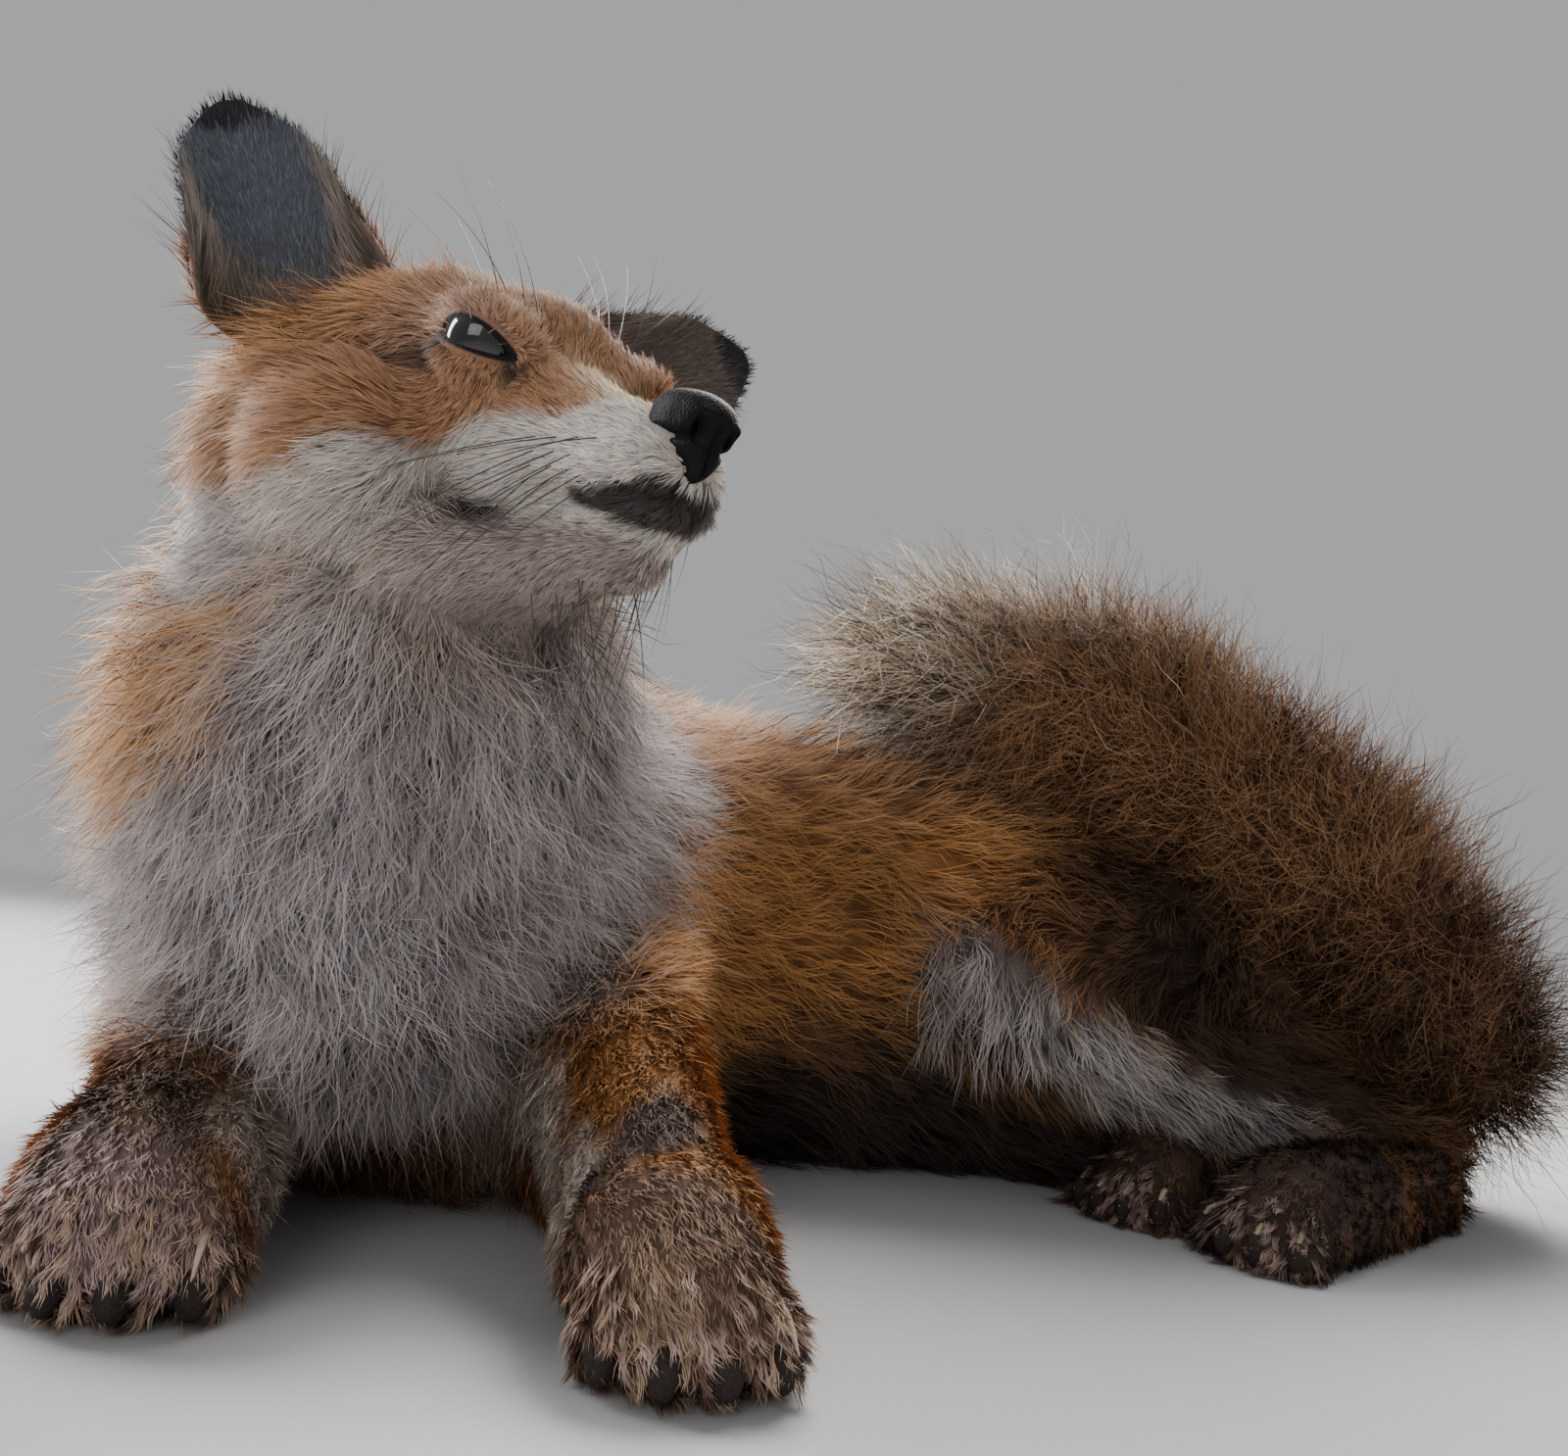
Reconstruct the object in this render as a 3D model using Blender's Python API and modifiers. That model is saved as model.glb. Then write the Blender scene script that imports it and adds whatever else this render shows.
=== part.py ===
"""A mounted red fox lying on its belly: head turned to its left, forelegs forward, hindquarters
rolled on the right hip, and the brush curled forward over the hips.  Life size, in metres, +Z up.

The flesh is one soft form.  It is lofted limb by limb from named sections, blended by a voxel
remesh, and parted into head, neck, trunk, legs and paws by thin cuts.  The brush is a form of its
own that lies on the hips.  Ears, eyes, nose leather and claws are separate solids."""

import math

import bmesh
import bpy
from mathutils import Matrix, Vector

# ---------------------------------------------------------------- driving sizes
ORIGIN = Vector((0.0866, 0.4632, 0.0))   # where the frame's origin lies in the drawing below
CUT = 0.0006                            # width of the thin cuts that part the body
GAP = 0.0004                            # gap round a piece that is let into its neighbour
VOXEL = 0.0035                          # grain of the blend between limbs
BODY_FACES = 3700                       # triangles kept on the parted body
TAIL_FACES = 620

EYE_RADIUS = 0.0098
EYE_AT = (0.0040, 0.0205, 0.0005)       # in the head's own axes, mirrored for the right eye
EAR_HEIGHT = 0.076
EAR_WIDTH = 0.046
EAR_WALL = 0.0045
CLAW_LENGTH = 0.013
CLAW_RADIUS = 0.0021

# The head's own axes: x to the nose, y to the fox's left, z up, with its origin between the eyes.
HEAD_AT = Vector((-0.068, 0.279, 0.231))
HEAD_FORWARD = Vector((0.69, -0.72, -0.15))
HEAD_UP = Vector((0.06, -0.13, 0.99))


def head_matrix():
    """The matrix from the head's own axes to the drawing."""
    forward = HEAD_FORWARD.normalized()
    left = HEAD_UP.cross(forward).normalized()
    up = forward.cross(left)
    rows = Matrix((forward, left, up)).transposed().to_4x4()
    return Matrix.Translation(HEAD_AT) @ rows


HEAD = head_matrix()

# Sections of each limb: centre x, y, z, then half width across and half height, in metres.
TRUNK = [
    (-0.126, 0.378, 0.096, 0.066, 0.072),
    (-0.127, 0.412, 0.100, 0.095, 0.100),
    (-0.110, 0.470, 0.098, 0.094, 0.101),
    (-0.050, 0.524, 0.095, 0.084, 0.097),
    (0.040, 0.553, 0.095, 0.074, 0.098),
    (0.150, 0.585, 0.090, 0.086, 0.093),
    (0.240, 0.612, 0.082, 0.080, 0.086),
    (0.300, 0.636, 0.082, 0.050, 0.060),
]
NECK = [
    (-0.128, 0.410, 0.110, 0.092, 0.090),
    (-0.123, 0.366, 0.150, 0.080, 0.078),
    (-0.114, 0.340, 0.188, 0.067, 0.066),
    (-0.112, 0.322, 0.216, 0.058, 0.054),
]
FORELEG_LEFT = [
    (-0.078, 0.455, 0.072, 0.050, 0.055),
    (-0.052, 0.410, 0.053, 0.036, 0.045),
    (-0.033, 0.362, 0.040, 0.028, 0.034),
    (-0.021, 0.322, 0.030, 0.024, 0.028),
]
FORELEG_RIGHT = [
    (-0.176, 0.455, 0.072, 0.046, 0.055),
    (-0.170, 0.410, 0.054, 0.034, 0.044),
    (-0.158, 0.362, 0.040, 0.027, 0.033),
    (-0.150, 0.330, 0.030, 0.024, 0.028),
]
FOREPAW_LEFT = [
    (-0.022, 0.330, 0.026, 0.024, 0.026),
    (-0.014, 0.306, 0.023, 0.028, 0.026),
    (-0.008, 0.289, 0.018, 0.025, 0.020),
]
FOREPAW_RIGHT = [
    (-0.151, 0.335, 0.026, 0.024, 0.026),
    (-0.145, 0.312, 0.023, 0.030, 0.026),
    (-0.140, 0.294, 0.018, 0.027, 0.020),
]
THIGH_LEFT = [
    (0.215, 0.580, 0.115, 0.060, 0.060),
    (0.160, 0.535, 0.105, 0.055, 0.056),
    (0.105, 0.508, 0.092, 0.042, 0.046),
]
SHIN_LEFT = [
    (0.105, 0.508, 0.090, 0.040, 0.044),
    (0.160, 0.516, 0.070, 0.034, 0.038),
    (0.230, 0.532, 0.047, 0.025, 0.029),
    (0.305, 0.552, 0.025, 0.021, 0.026),
]
FOOT_LEFT = [
    (0.312, 0.552, 0.021, 0.019, 0.024),
    (0.275, 0.516, 0.019, 0.019, 0.022),
    (0.228, 0.476, 0.019, 0.022, 0.022),
]
HINDPAW_LEFT = [
    (0.232, 0.480, 0.019, 0.022, 0.022),
    (0.210, 0.462, 0.018, 0.025, 0.022),
    (0.196, 0.450, 0.015, 0.022, 0.017),
]
SHIN_RIGHT = [
    (0.110, 0.560, 0.048, 0.045, 0.050),
    (0.170, 0.555, 0.034, 0.034, 0.037),
    (0.235, 0.565, 0.023, 0.024, 0.026),
]
FOOT_RIGHT = [
    (0.240, 0.565, 0.020, 0.018, 0.022),
    (0.205, 0.535, 0.018, 0.019, 0.021),
    (0.182, 0.514, 0.018, 0.021, 0.021),
]
HINDPAW_RIGHT = [
    (0.186, 0.518, 0.018, 0.021, 0.021),
    (0.172, 0.504, 0.017, 0.023, 0.021),
    (0.162, 0.494, 0.014, 0.020, 0.016),
]
TAIL = [
    (0.285, 0.632, 0.100, 0.026, 0.026),
    (0.322, 0.632, 0.084, 0.040, 0.040),
    (0.338, 0.606, 0.072, 0.054, 0.054),
    (0.328, 0.575, 0.082, 0.062, 0.062),
    (0.276, 0.554, 0.136, 0.066, 0.066),
    (0.212, 0.546, 0.178, 0.067, 0.067),
    (0.147, 0.540, 0.209, 0.064, 0.064),
    (0.090, 0.536, 0.221, 0.049, 0.049),
    (0.050, 0.535, 0.224, 0.030, 0.030),
]
# Sections of the head, in the head's own axes.
MUZZLE = [
    (-0.015, 0.0, -0.012, 0.031, 0.027),
    (0.012, 0.0, -0.0165, 0.0220, 0.0200),
    (0.036, 0.0, -0.0205, 0.0165, 0.0150),
    (0.057, 0.0, -0.0235, 0.0135, 0.0125),
]
JAW = [
    (-0.040, 0.0, -0.044, 0.036, 0.022),
    (-0.005, 0.0, -0.045, 0.026, 0.0155),
    (0.022, 0.0, -0.0435, 0.0170, 0.0120),
    (0.042, 0.0, -0.0415, 0.0115, 0.0090),
]
NOSE = [
    (0.0600, 0.0, -0.0160, 0.0088, 0.0082),
    (0.0640, 0.0, -0.0166, 0.0092, 0.0088),
]
CHEEK = (-0.036, 0.030, -0.026, 0.036, 0.027, 0.029)      # centre, then half sizes, mirrored
CRANIUM = (-0.047, 0.0, 0.000, 0.050, 0.040, 0.0325)
BROW = (-0.014, 0.0, 0.0075, 0.030, 0.027, 0.0155)
ORBIT = (0.000, 0.0160, -0.0005, 0.0190, 0.0125, 0.0145)  # swells round each eye, mirrored
TOE_SPREAD = (-1.5, -0.5, 0.5, 1.5)
# Rounds that swell the trunk at the shoulders and the hips: centre, then half sizes.
SWELLS = [
    (-0.062, 0.462, 0.098, 0.042, 0.054, 0.066),
    (-0.176, 0.470, 0.098, 0.044, 0.054, 0.066),
    (0.205, 0.560, 0.104, 0.062, 0.052, 0.062),
    (0.235, 0.640, 0.080, 0.066, 0.060, 0.074),
]

# Paws: place of the toes' middle, heading in degrees from +X, half spread, toe radius.
PAWS = {
    "forepaw_left": ((-0.006, 0.289, 0.0105), -80.0, 0.0140, 0.0125),
    "forepaw_right": ((-0.139, 0.294, 0.0105), -88.0, 0.0150, 0.0125),
    "hindpaw_left": ((0.198, 0.451, 0.0098), -142.0, 0.0125, 0.0115),
    "hindpaw_right": ((0.163, 0.495, 0.0093), -138.0, 0.0120, 0.0110),
}

# Parting boxes, cut off the body one after the other: place of the near face, direction the box
# runs from it, then its length, width and height.
PARTING = [
    ("head", (-0.100, 0.322, 0.192), (0.38, -0.42, 0.82), 0.26, 0.30, 0.30),
    ("neck", (-0.148, 0.400, 0.135), (0.0, -0.70, 0.70), 0.26, 0.30, 0.25),
    ("forepaw_left", (-0.022, 0.322, 0.030), (0.25, -0.97, 0.0), 0.10, 0.10, 0.12),
    ("forepaw_right", (-0.151, 0.328, 0.030), (0.15, -0.98, 0.0), 0.10, 0.11, 0.12),
    ("foreleg_left", (-0.048, 0.404, 0.040), (0.40, -0.90, 0.0), 0.12, 0.10, 0.12),
    ("foreleg_right", (-0.180, 0.404, 0.040), (0.22, -0.97, 0.0), 0.12, 0.10, 0.12),
    ("hindpaw_left", (0.296, 0.536, 0.020), (-0.75, -0.66, 0.0), 0.20, 0.08, 0.10),
    ("hindpaw_right", (0.232, 0.540, 0.015), (-0.80, -0.60, 0.0), 0.12, 0.08, 0.08),
    ("hindleg_left", (0.205, 0.548, 0.080), (0.27, -0.96, 0.0), 0.20, 0.31, 0.36),
    ("hindleg_right", (0.190, 0.585, 0.040), (0.0, 0.0, -1.0), 0.10, 0.30, 0.16),
]
TAIL_PARTING = [
    ("tail_tip", (0.140, 0.540, 0.214), (-1.0, 0.0, 0.05), 0.20, 0.22, 0.22),
    ("tail_middle", (0.312, 0.560, 0.130), (-0.65, -0.20, 0.73), 0.30, 0.30, 0.22),
]


# ---------------------------------------------------------------- small helpers
def new_object(name, mesh, collection):
    """A new object on a mesh, in a collection."""
    obj = bpy.data.objects.new(name, mesh)
    collection.objects.link(obj)
    return obj


def applied(obj):
    """Replaces an object's mesh by the one its modifiers make."""
    graph = bpy.context.evaluated_depsgraph_get()
    mesh = bpy.data.meshes.new_from_object(obj.evaluated_get(graph))
    obj.modifiers.clear()
    obj.data = mesh
    return obj


def boolean(obj, cutter, operation):
    """Cuts, joins or intersects an object with another, and applies the result."""
    cut = obj.modifiers.new("boolean", "BOOLEAN")
    cut.operation = operation
    cut.object = cutter
    cut.solver = "EXACT"
    return applied(obj)


def grown(obj, amount, collection):
    """A copy of an object, grown outwards by an amount, to cut its neighbours with."""
    copy = new_object(obj.name + "_grown", obj.data.copy(), collection)
    copy.matrix_world = obj.matrix_world
    swell = copy.modifiers.new("swell", "DISPLACE")
    swell.strength = amount
    swell.mid_level = 0.0
    return applied(copy)


def catmull(a, b, c, d, t):
    """A point between b and c on the smooth curve through four sections."""
    return [
        0.5 * (2 * q + (r - p) * t + (2 * p - 5 * q + 4 * r - s) * t * t + (3 * q - p - 3 * r + s) * t ** 3)
        for p, q, r, s in zip(a, b, c, d)
    ]


def smooth_sections(sections, steps):
    """More sections, on a smooth curve through the given ones."""
    ends = [sections[0], *sections, sections[-1]]
    out = [
        catmull(*ends[i:i + 4], k / steps)
        for i in range(len(sections) - 1)
        for k in range(steps)
    ]
    return out + [list(sections[-1])]


def loft(sections, steps=5, around=20, dome=4):
    """A bmesh tube through the sections, with a round dome at each end."""
    rings = smooth_sections(sections, steps)
    points = [Vector(r[:3]) for r in rings]
    count = len(rings)
    tangents = [
        (points[min(i + 1, count - 1)] - points[max(i - 1, 0)]).normalized() for i in range(count)
    ]
    stations = [(p, t, r[3], r[4]) for p, t, r in zip(points, tangents, rings)]
    for end, sign in ((0, -1), (-1, 1)):
        point, tangent, wide, high = stations[end]
        for k in range(1, dome):
            angle = math.pi / 2 * k / dome
            out = point + tangent * (sign * min(wide, high) * math.sin(angle))
            extra = (out, tangent, wide * math.cos(angle), high * math.cos(angle))
            stations.insert(0 if end == 0 else len(stations), extra)
    mesh = bmesh.new()
    loops = []
    for point, tangent, wide, high in stations:
        side = tangent.cross(Vector((0, 0, 1)))
        side = side.normalized() if side.length > 0.05 else Vector((0, 1, 0))
        upward = side.cross(tangent).normalized()
        turn = [2 * math.pi * k / around for k in range(around)]
        loops.append([
            mesh.verts.new(point + side * (wide * math.cos(a)) + upward * (high * math.sin(a)))
            for a in turn
        ])
    for low, high in zip(loops, loops[1:]):
        for k in range(around):
            n = (k + 1) % around
            mesh.faces.new((low[k], low[n], high[n], high[k]))
    mesh.faces.new(loops[0])
    mesh.faces.new(loops[-1])
    bmesh.ops.recalc_face_normals(mesh, faces=mesh.faces)
    return mesh


def ball(centre, half_sizes, across=24, tall=14):
    """A bmesh ellipsoid."""
    mesh = bmesh.new()
    bmesh.ops.create_uvsphere(mesh, u_segments=across, v_segments=tall, radius=1.0)
    scale = Matrix.Diagonal((*half_sizes, 1.0))
    mesh.transform(Matrix.Translation(centre) @ scale)
    return mesh


def joined(parts, name, collection):
    """One object of several bmeshes, each (bmesh, matrix)."""
    whole = bmesh.new()
    for part, matrix in parts:
        part.transform(matrix)
        mesh = bpy.data.meshes.new("piece")
        part.to_mesh(mesh)
        part.free()
        whole.from_mesh(mesh)
        bpy.data.meshes.remove(mesh)
    mesh = bpy.data.meshes.new(name)
    whole.to_mesh(mesh)
    whole.free()
    return new_object(name, mesh, collection)


def blended(obj, voxel, smoothing, faces):
    """Blends an object's overlapping shells into one soft form with about so many triangles."""
    remesh = obj.modifiers.new("blend", "REMESH")
    remesh.mode = "VOXEL"
    remesh.voxel_size = voxel
    relax = obj.modifiers.new("relax", "SMOOTH")
    relax.factor = 0.5
    relax.iterations = smoothing
    applied(obj)
    thin = obj.modifiers.new("thin", "DECIMATE")
    thin.ratio = faces / (2 * len(obj.data.polygons))
    thin.use_collapse_triangulate = True
    return applied(obj)


def box(name, place, direction, length, width, height, collection, margin=0.0):
    """A box that runs from a place in a direction, grown all round by a margin."""
    mesh = bmesh.new()
    bmesh.ops.create_cube(mesh, size=1.0)
    along = Vector(direction).normalized()
    side = Vector((0, 0, 1)).cross(along)
    side = side.normalized() if side.length > 0.05 else Vector((0, 1, 0))
    upward = along.cross(side)
    turn = Matrix((along, side, upward)).transposed().to_4x4()
    sizes = Matrix.Diagonal((length + 2 * margin, width + 2 * margin, height + 2 * margin, 1.0))
    middle = Vector(place) + along * (length / 2)
    mesh.transform(Matrix.Translation(middle) @ turn @ sizes)
    data = bpy.data.meshes.new(name)
    mesh.to_mesh(data)
    mesh.free()
    return new_object(name, data, collection)


def largest_island(obj):
    """Keeps only an object's largest connected piece."""
    mesh = bmesh.new()
    mesh.from_mesh(obj.data)
    left = set(mesh.verts)
    islands = []
    while left:
        start = left.pop()
        island, edge = {start}, [start]
        while edge:
            for link in edge.pop().link_edges:
                for vert in link.verts:
                    if vert in left:
                        left.discard(vert)
                        island.add(vert)
                        edge.append(vert)
        islands.append(island)
    islands.sort(key=len)
    doomed = [v for island in islands[:-1] for v in island]
    bmesh.ops.delete(mesh, geom=doomed, context="VERTS")
    mesh.to_mesh(obj.data)
    mesh.free()
    return obj


def material(name, colour, roughness, metallic=0.0):
    """A plain Principled material."""
    made = bpy.data.materials.new(name)
    made.use_nodes = True
    shader = made.node_tree.nodes["Principled BSDF"]
    shader.inputs["Base Color"].default_value = (*colour, 1.0)
    shader.inputs["Roughness"].default_value = roughness
    shader.inputs["Metallic"].default_value = metallic
    made.diffuse_color = (*colour, 1.0)
    return made


# ---------------------------------------------------------------- the animal
def toes(place, heading, spread, radius):
    """The four toes of a paw, as (bmesh, matrix) pairs, and where each one's claw starts."""
    angle = math.radians(heading)
    forward = Vector((math.cos(angle), math.sin(angle), 0.0))
    side = Vector((-math.sin(angle), math.cos(angle), 0.0))
    parts, claws = [], []
    for step in TOE_SPREAD:
        reach = 0.006 if abs(step) < 1 else 0.0
        centre = Vector(place) + side * (step * spread * 0.82) + forward * reach
        splay = angle + math.radians(9.0) * step
        turn = Matrix.Translation(centre) @ Matrix.Rotation(splay, 4, "Z")
        parts.append((ball((0, 0, 0.001), (radius * 1.35, radius * 0.72, radius)), turn))
        claws.append(turn @ Matrix.Translation((radius * 1.05, 0.0, radius * 0.30)))
    return parts, claws


def body_form(collection):
    """The whole body but the brush, as one blended form."""
    here = Matrix.Identity(4)
    limbs = (
        TRUNK, NECK, FORELEG_LEFT, FORELEG_RIGHT, FOREPAW_LEFT, FOREPAW_RIGHT, THIGH_LEFT, SHIN_LEFT,
        FOOT_LEFT, HINDPAW_LEFT, SHIN_RIGHT, FOOT_RIGHT, HINDPAW_RIGHT,
    )
    parts = [(loft(sections), here) for sections in limbs]
    parts += [(loft(sections), HEAD) for sections in (MUZZLE, JAW)]
    parts += [(ball(b[:3], b[3:]), HEAD) for b in (CRANIUM, BROW)]
    parts += [(ball(b[:3], b[3:]), here) for b in SWELLS]
    for x, y, z, *half_sizes in (CHEEK, ORBIT):
        parts += [(ball((x, side * y, z), half_sizes), HEAD) for side in (1, -1)]
    for paw in PAWS.values():
        parts += toes(*paw)[0]
    body = joined(parts, "body", collection)
    return blended(body, VOXEL, 6, BODY_FACES)


def ear(name, side, collection):
    """An ear: a cupped shell, broad at the root and round at the tip."""
    lean = EARS[name]
    rows, columns = 8, 8
    mesh = bmesh.new()
    grid = []
    for i in range(rows + 1):
        u = math.sin(math.pi / 2 * i / rows)
        wide = EAR_WIDTH / 2 * (1 - u ** 5) ** 0.5 * (1 - 0.24 * u)
        cup = 1.25 * (1 - u) + 0.35
        row = []
        for k in range(columns + 1):
            v = 2 * k / columns - 1
            angle = v * cup
            row.append(mesh.verts.new((
                -wide * (math.cos(angle) - math.cos(cup)) / max(math.sin(cup), 0.6) - 0.004 * u * u,
                wide * math.sin(angle) / max(math.sin(cup), 0.6),
                EAR_HEIGHT * u,
            )) if i < rows else None)
        grid.append(row)
    tip = mesh.verts.new((-0.004, 0.0, EAR_HEIGHT))
    for i in range(rows - 1):
        for k in range(columns):
            mesh.faces.new((grid[i][k], grid[i][k + 1], grid[i + 1][k + 1], grid[i + 1][k]))
    for k in range(columns):
        mesh.faces.new((grid[rows - 1][k], grid[rows - 1][k + 1], tip))
    data = bpy.data.meshes.new(name)
    mesh.to_mesh(data)
    mesh.free()
    shell = new_object(name, data, collection)
    wall = shell.modifiers.new("wall", "SOLIDIFY")
    wall.thickness = EAR_WALL
    wall.offset = 0.0
    applied(shell)
    shell.data.transform(lean)
    return shell


def turned(place, opening, upward):
    """A matrix that puts a local z along upward and a local x towards opening, at a place."""
    up = Vector(upward).normalized()
    side = up.cross(Vector(opening)).normalized()
    front = side.cross(up)
    return Matrix.Translation(place) @ Matrix((front, side, up)).transposed().to_4x4()


# Ears in the head's own axes: root, direction the cup opens, direction of the tip.
EARS = {
    "ear_left": HEAD @ turned((-0.052, 0.037, 0.013), (0.95, -0.10, 0.20), (0.05, 0.88, 0.48)),
    "ear_right": HEAD @ turned((-0.058, -0.044, 0.016), (0.90, -0.35, 0.1), (-0.60, -0.20, 0.77)),
}


def claw(matrix):
    """A claw: a small cone that starts inside its toe."""
    mesh = bmesh.new()
    bmesh.ops.create_cone(
        mesh, segments=7, radius1=CLAW_RADIUS, radius2=CLAW_RADIUS * 0.2,
        depth=CLAW_LENGTH, cap_ends=True,
    )
    lean = Matrix.Rotation(math.radians(118.0), 4, "Y")
    mesh.transform(matrix @ lean)
    return mesh


def rounded(name, mesh, collection):
    """A smooth-shaded object of a bmesh."""
    data = bpy.data.meshes.new(name)
    mesh.to_mesh(data)
    mesh.free()
    data.shade_smooth()
    return new_object(name, data, collection)


def main():
    """Builds the fox, node by node."""
    for old in list(bpy.data.objects):
        bpy.data.objects.remove(old)
    fox = bpy.data.collections.new("fox")
    cutters = bpy.data.collections.new("cutters")
    for collection in (fox, cutters):
        bpy.context.scene.collection.children.link(collection)

    floor = box("floor", (0, 0.4, 0), (0, 0, -1), 0.2, 2.0, 2.0, cutters)
    body = body_form(fox)
    brush = joined([(loft(TAIL, steps=4, around=18), Matrix.Identity(4))], "brush", fox)
    blended(brush, VOXEL * 1.3, 3, TAIL_FACES)
    for form in (body, brush):
        boolean(form, floor, "DIFFERENCE")
    boolean(body, grown(brush, GAP * 2, cutters), "DIFFERENCE")
    largest_island(body)

    nodes = {}
    for side, name in ((1, "eye_left"), (-1, "eye_right")):
        x, y, z = EYE_AT
        eye = ball(HEAD @ Vector((x, side * y, z)), (EYE_RADIUS,) * 3, 14, 9)
        nodes[name] = rounded(name, eye, fox)
        socket = ball(HEAD @ Vector((x, side * y, z)), (EYE_RADIUS + GAP,) * 3, 14, 9)
        boolean(body, rounded(name + "_socket", socket, cutters), "DIFFERENCE")
    nose = loft(NOSE, steps=2, around=12)
    nose.transform(HEAD)
    nodes["nose"] = rounded("nose", nose, fox)
    boolean(body, grown(nodes["nose"], GAP, cutters), "DIFFERENCE")

    solid = grown(body, GAP, cutters)
    for side, name in ((1, "ear_left"), (-1, "ear_right")):
        nodes[name] = ear(name, side, fox)
        boolean(nodes[name], solid, "DIFFERENCE")
        largest_island(nodes[name])

    for form, parting, last in ((body, PARTING, "trunk"), (brush, TAIL_PARTING, "tail_base")):
        for name, *region in parting:
            piece = new_object(name, form.data.copy(), fox)
            boolean(piece, box(name + "_region", *region, cutters), "INTERSECT")
            boolean(form, box(name + "_rest", *region, cutters, margin=CUT), "DIFFERENCE")
            nodes[name] = largest_island(piece)
        form.name = last
        nodes[last] = largest_island(form)

    for name, paw in PAWS.items():
        for start in toes(*paw)[1]:
            boolean(nodes[name], rounded("claw", claw(start), cutters), "UNION")
        largest_island(nodes[name])
    above = grown(nodes["hindpaw_left"], GAP, cutters)
    boolean(nodes["hindpaw_right"], above, "DIFFERENCE")
    largest_island(nodes["hindpaw_right"])

    fur = {
        "russet": material("russet_fur", (0.42, 0.17, 0.06), 0.9),
        "pale": material("pale_fur", (0.55, 0.47, 0.40), 0.9),
        "brown": material("brown_fur", (0.16, 0.08, 0.05), 0.9),
        "leather": material("nose_leather", (0.015, 0.015, 0.017), 0.4),
        "glass": material("eye_glass", (0.03, 0.02, 0.012), 0.05),
    }
    finishes = {"neck": "pale", "nose": "leather", "eye_left": "glass", "eye_right": "glass"}
    for name, obj in nodes.items():
        obj.data.transform(Matrix.Translation(-ORIGIN))
        obj.data.materials.clear()
        finish = finishes.get(name, "brown" if "paw" in name else "russet")
        obj.data.materials.append(fur[finish])
    for cutter in list(cutters.objects):
        bpy.data.objects.remove(cutter)


main()
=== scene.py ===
"""The looks of the mounted red fox: one skin under a coat of mesh tufts, with glass eyes, nose
leather, lips, lids, pads, claws and whiskers.  In metres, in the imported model's frame.

The skin and the coat share one description of the body, LIMBS: the sections of each stretch, how
deep its coat is, and how its hairs lie.  They share one description of the markings as well."""

import math
from collections import namedtuple

import bmesh
import bpy
import numpy as np
from mathutils import Matrix, Vector
from mathutils.bvhtree import BVHTree


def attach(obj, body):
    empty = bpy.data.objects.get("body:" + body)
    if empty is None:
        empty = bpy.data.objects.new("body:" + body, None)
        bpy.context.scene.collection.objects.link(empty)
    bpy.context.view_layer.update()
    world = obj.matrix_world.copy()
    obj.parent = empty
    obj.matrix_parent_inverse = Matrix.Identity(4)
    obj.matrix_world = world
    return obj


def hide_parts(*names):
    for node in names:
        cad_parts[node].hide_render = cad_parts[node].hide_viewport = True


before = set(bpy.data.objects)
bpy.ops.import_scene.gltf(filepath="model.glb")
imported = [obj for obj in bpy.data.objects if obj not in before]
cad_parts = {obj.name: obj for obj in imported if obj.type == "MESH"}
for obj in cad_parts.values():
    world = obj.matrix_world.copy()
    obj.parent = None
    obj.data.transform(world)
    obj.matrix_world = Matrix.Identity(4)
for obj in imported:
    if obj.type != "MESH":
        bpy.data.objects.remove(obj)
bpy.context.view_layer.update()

# -------------------- places and sizes
ORIGIN = Vector((0.0866, 0.4632, 0.0))   # the frame's origin, in the drawing that the sections use
SKIN_VOXEL = 0.0031                      # grain of the blend between limbs
SIDE_REACH, SIDE_ROOM = 0.322, 0.012     # hairs beyond the first bend back within the second
EYE_RADIUS = 0.0098
EYE_AT = (0.0040, 0.0205, 0.0005)        # in the head's own axes, mirrored for the right eye
EAR_HEIGHT = 0.076
EAR_WIDTH = 0.046
EAR_SKIN = 0.0022                        # thickness of an ear without its coat
HEAD_AT = Vector((-0.068, 0.279, 0.231))
HEAD_FORWARD = Vector((0.69, -0.72, -0.15))
HEAD_UP = Vector((0.06, -0.13, 0.99))
ROW = Matrix.Translation(-ORIGIN)        # from the drawing to the frame
EYE_HEIGHT = 0.112                       # of the camera over the floor
TILT_UP = 8.07                           # degrees
ROLL = 6.73
LENS = 27.0                              # mm, on a sensor of SENSOR mm
SENSOR = 36.0
GROOVE_DEPTH, GROOVE_WIDTH = 0.0016, 0.0022   # of the closed mouth
LIP_RISE = 0.0007                        # of the lip over that groove
SOCKET_DEPTH = 0.0024                    # of the skin behind an eye's opening, under the glass
BELLY_SETTLE = 0.007                     # how much the skin of the belly sinks to the floor
FLOOR_GAP = 0.0006                       # the lowest place that a hair may reach
BARE_LID = 4.5                           # degrees round an eye's opening without hair
BARE_LIP = 0.0011                        # on each side of the mouth's line without hair

MM = 0.001


def head_matrix():
    """From the head's own axes (x to the nose, y to the fox's left, z up) to the frame."""
    forward = HEAD_FORWARD.normalized()
    left = HEAD_UP.cross(forward).normalized()
    up = forward.cross(left)
    return ROW @ Matrix.Translation(HEAD_AT) @ Matrix((forward, left, up)).transposed().to_4x4()


HEAD = head_matrix()
TO_HEAD = HEAD.inverted()

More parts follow.
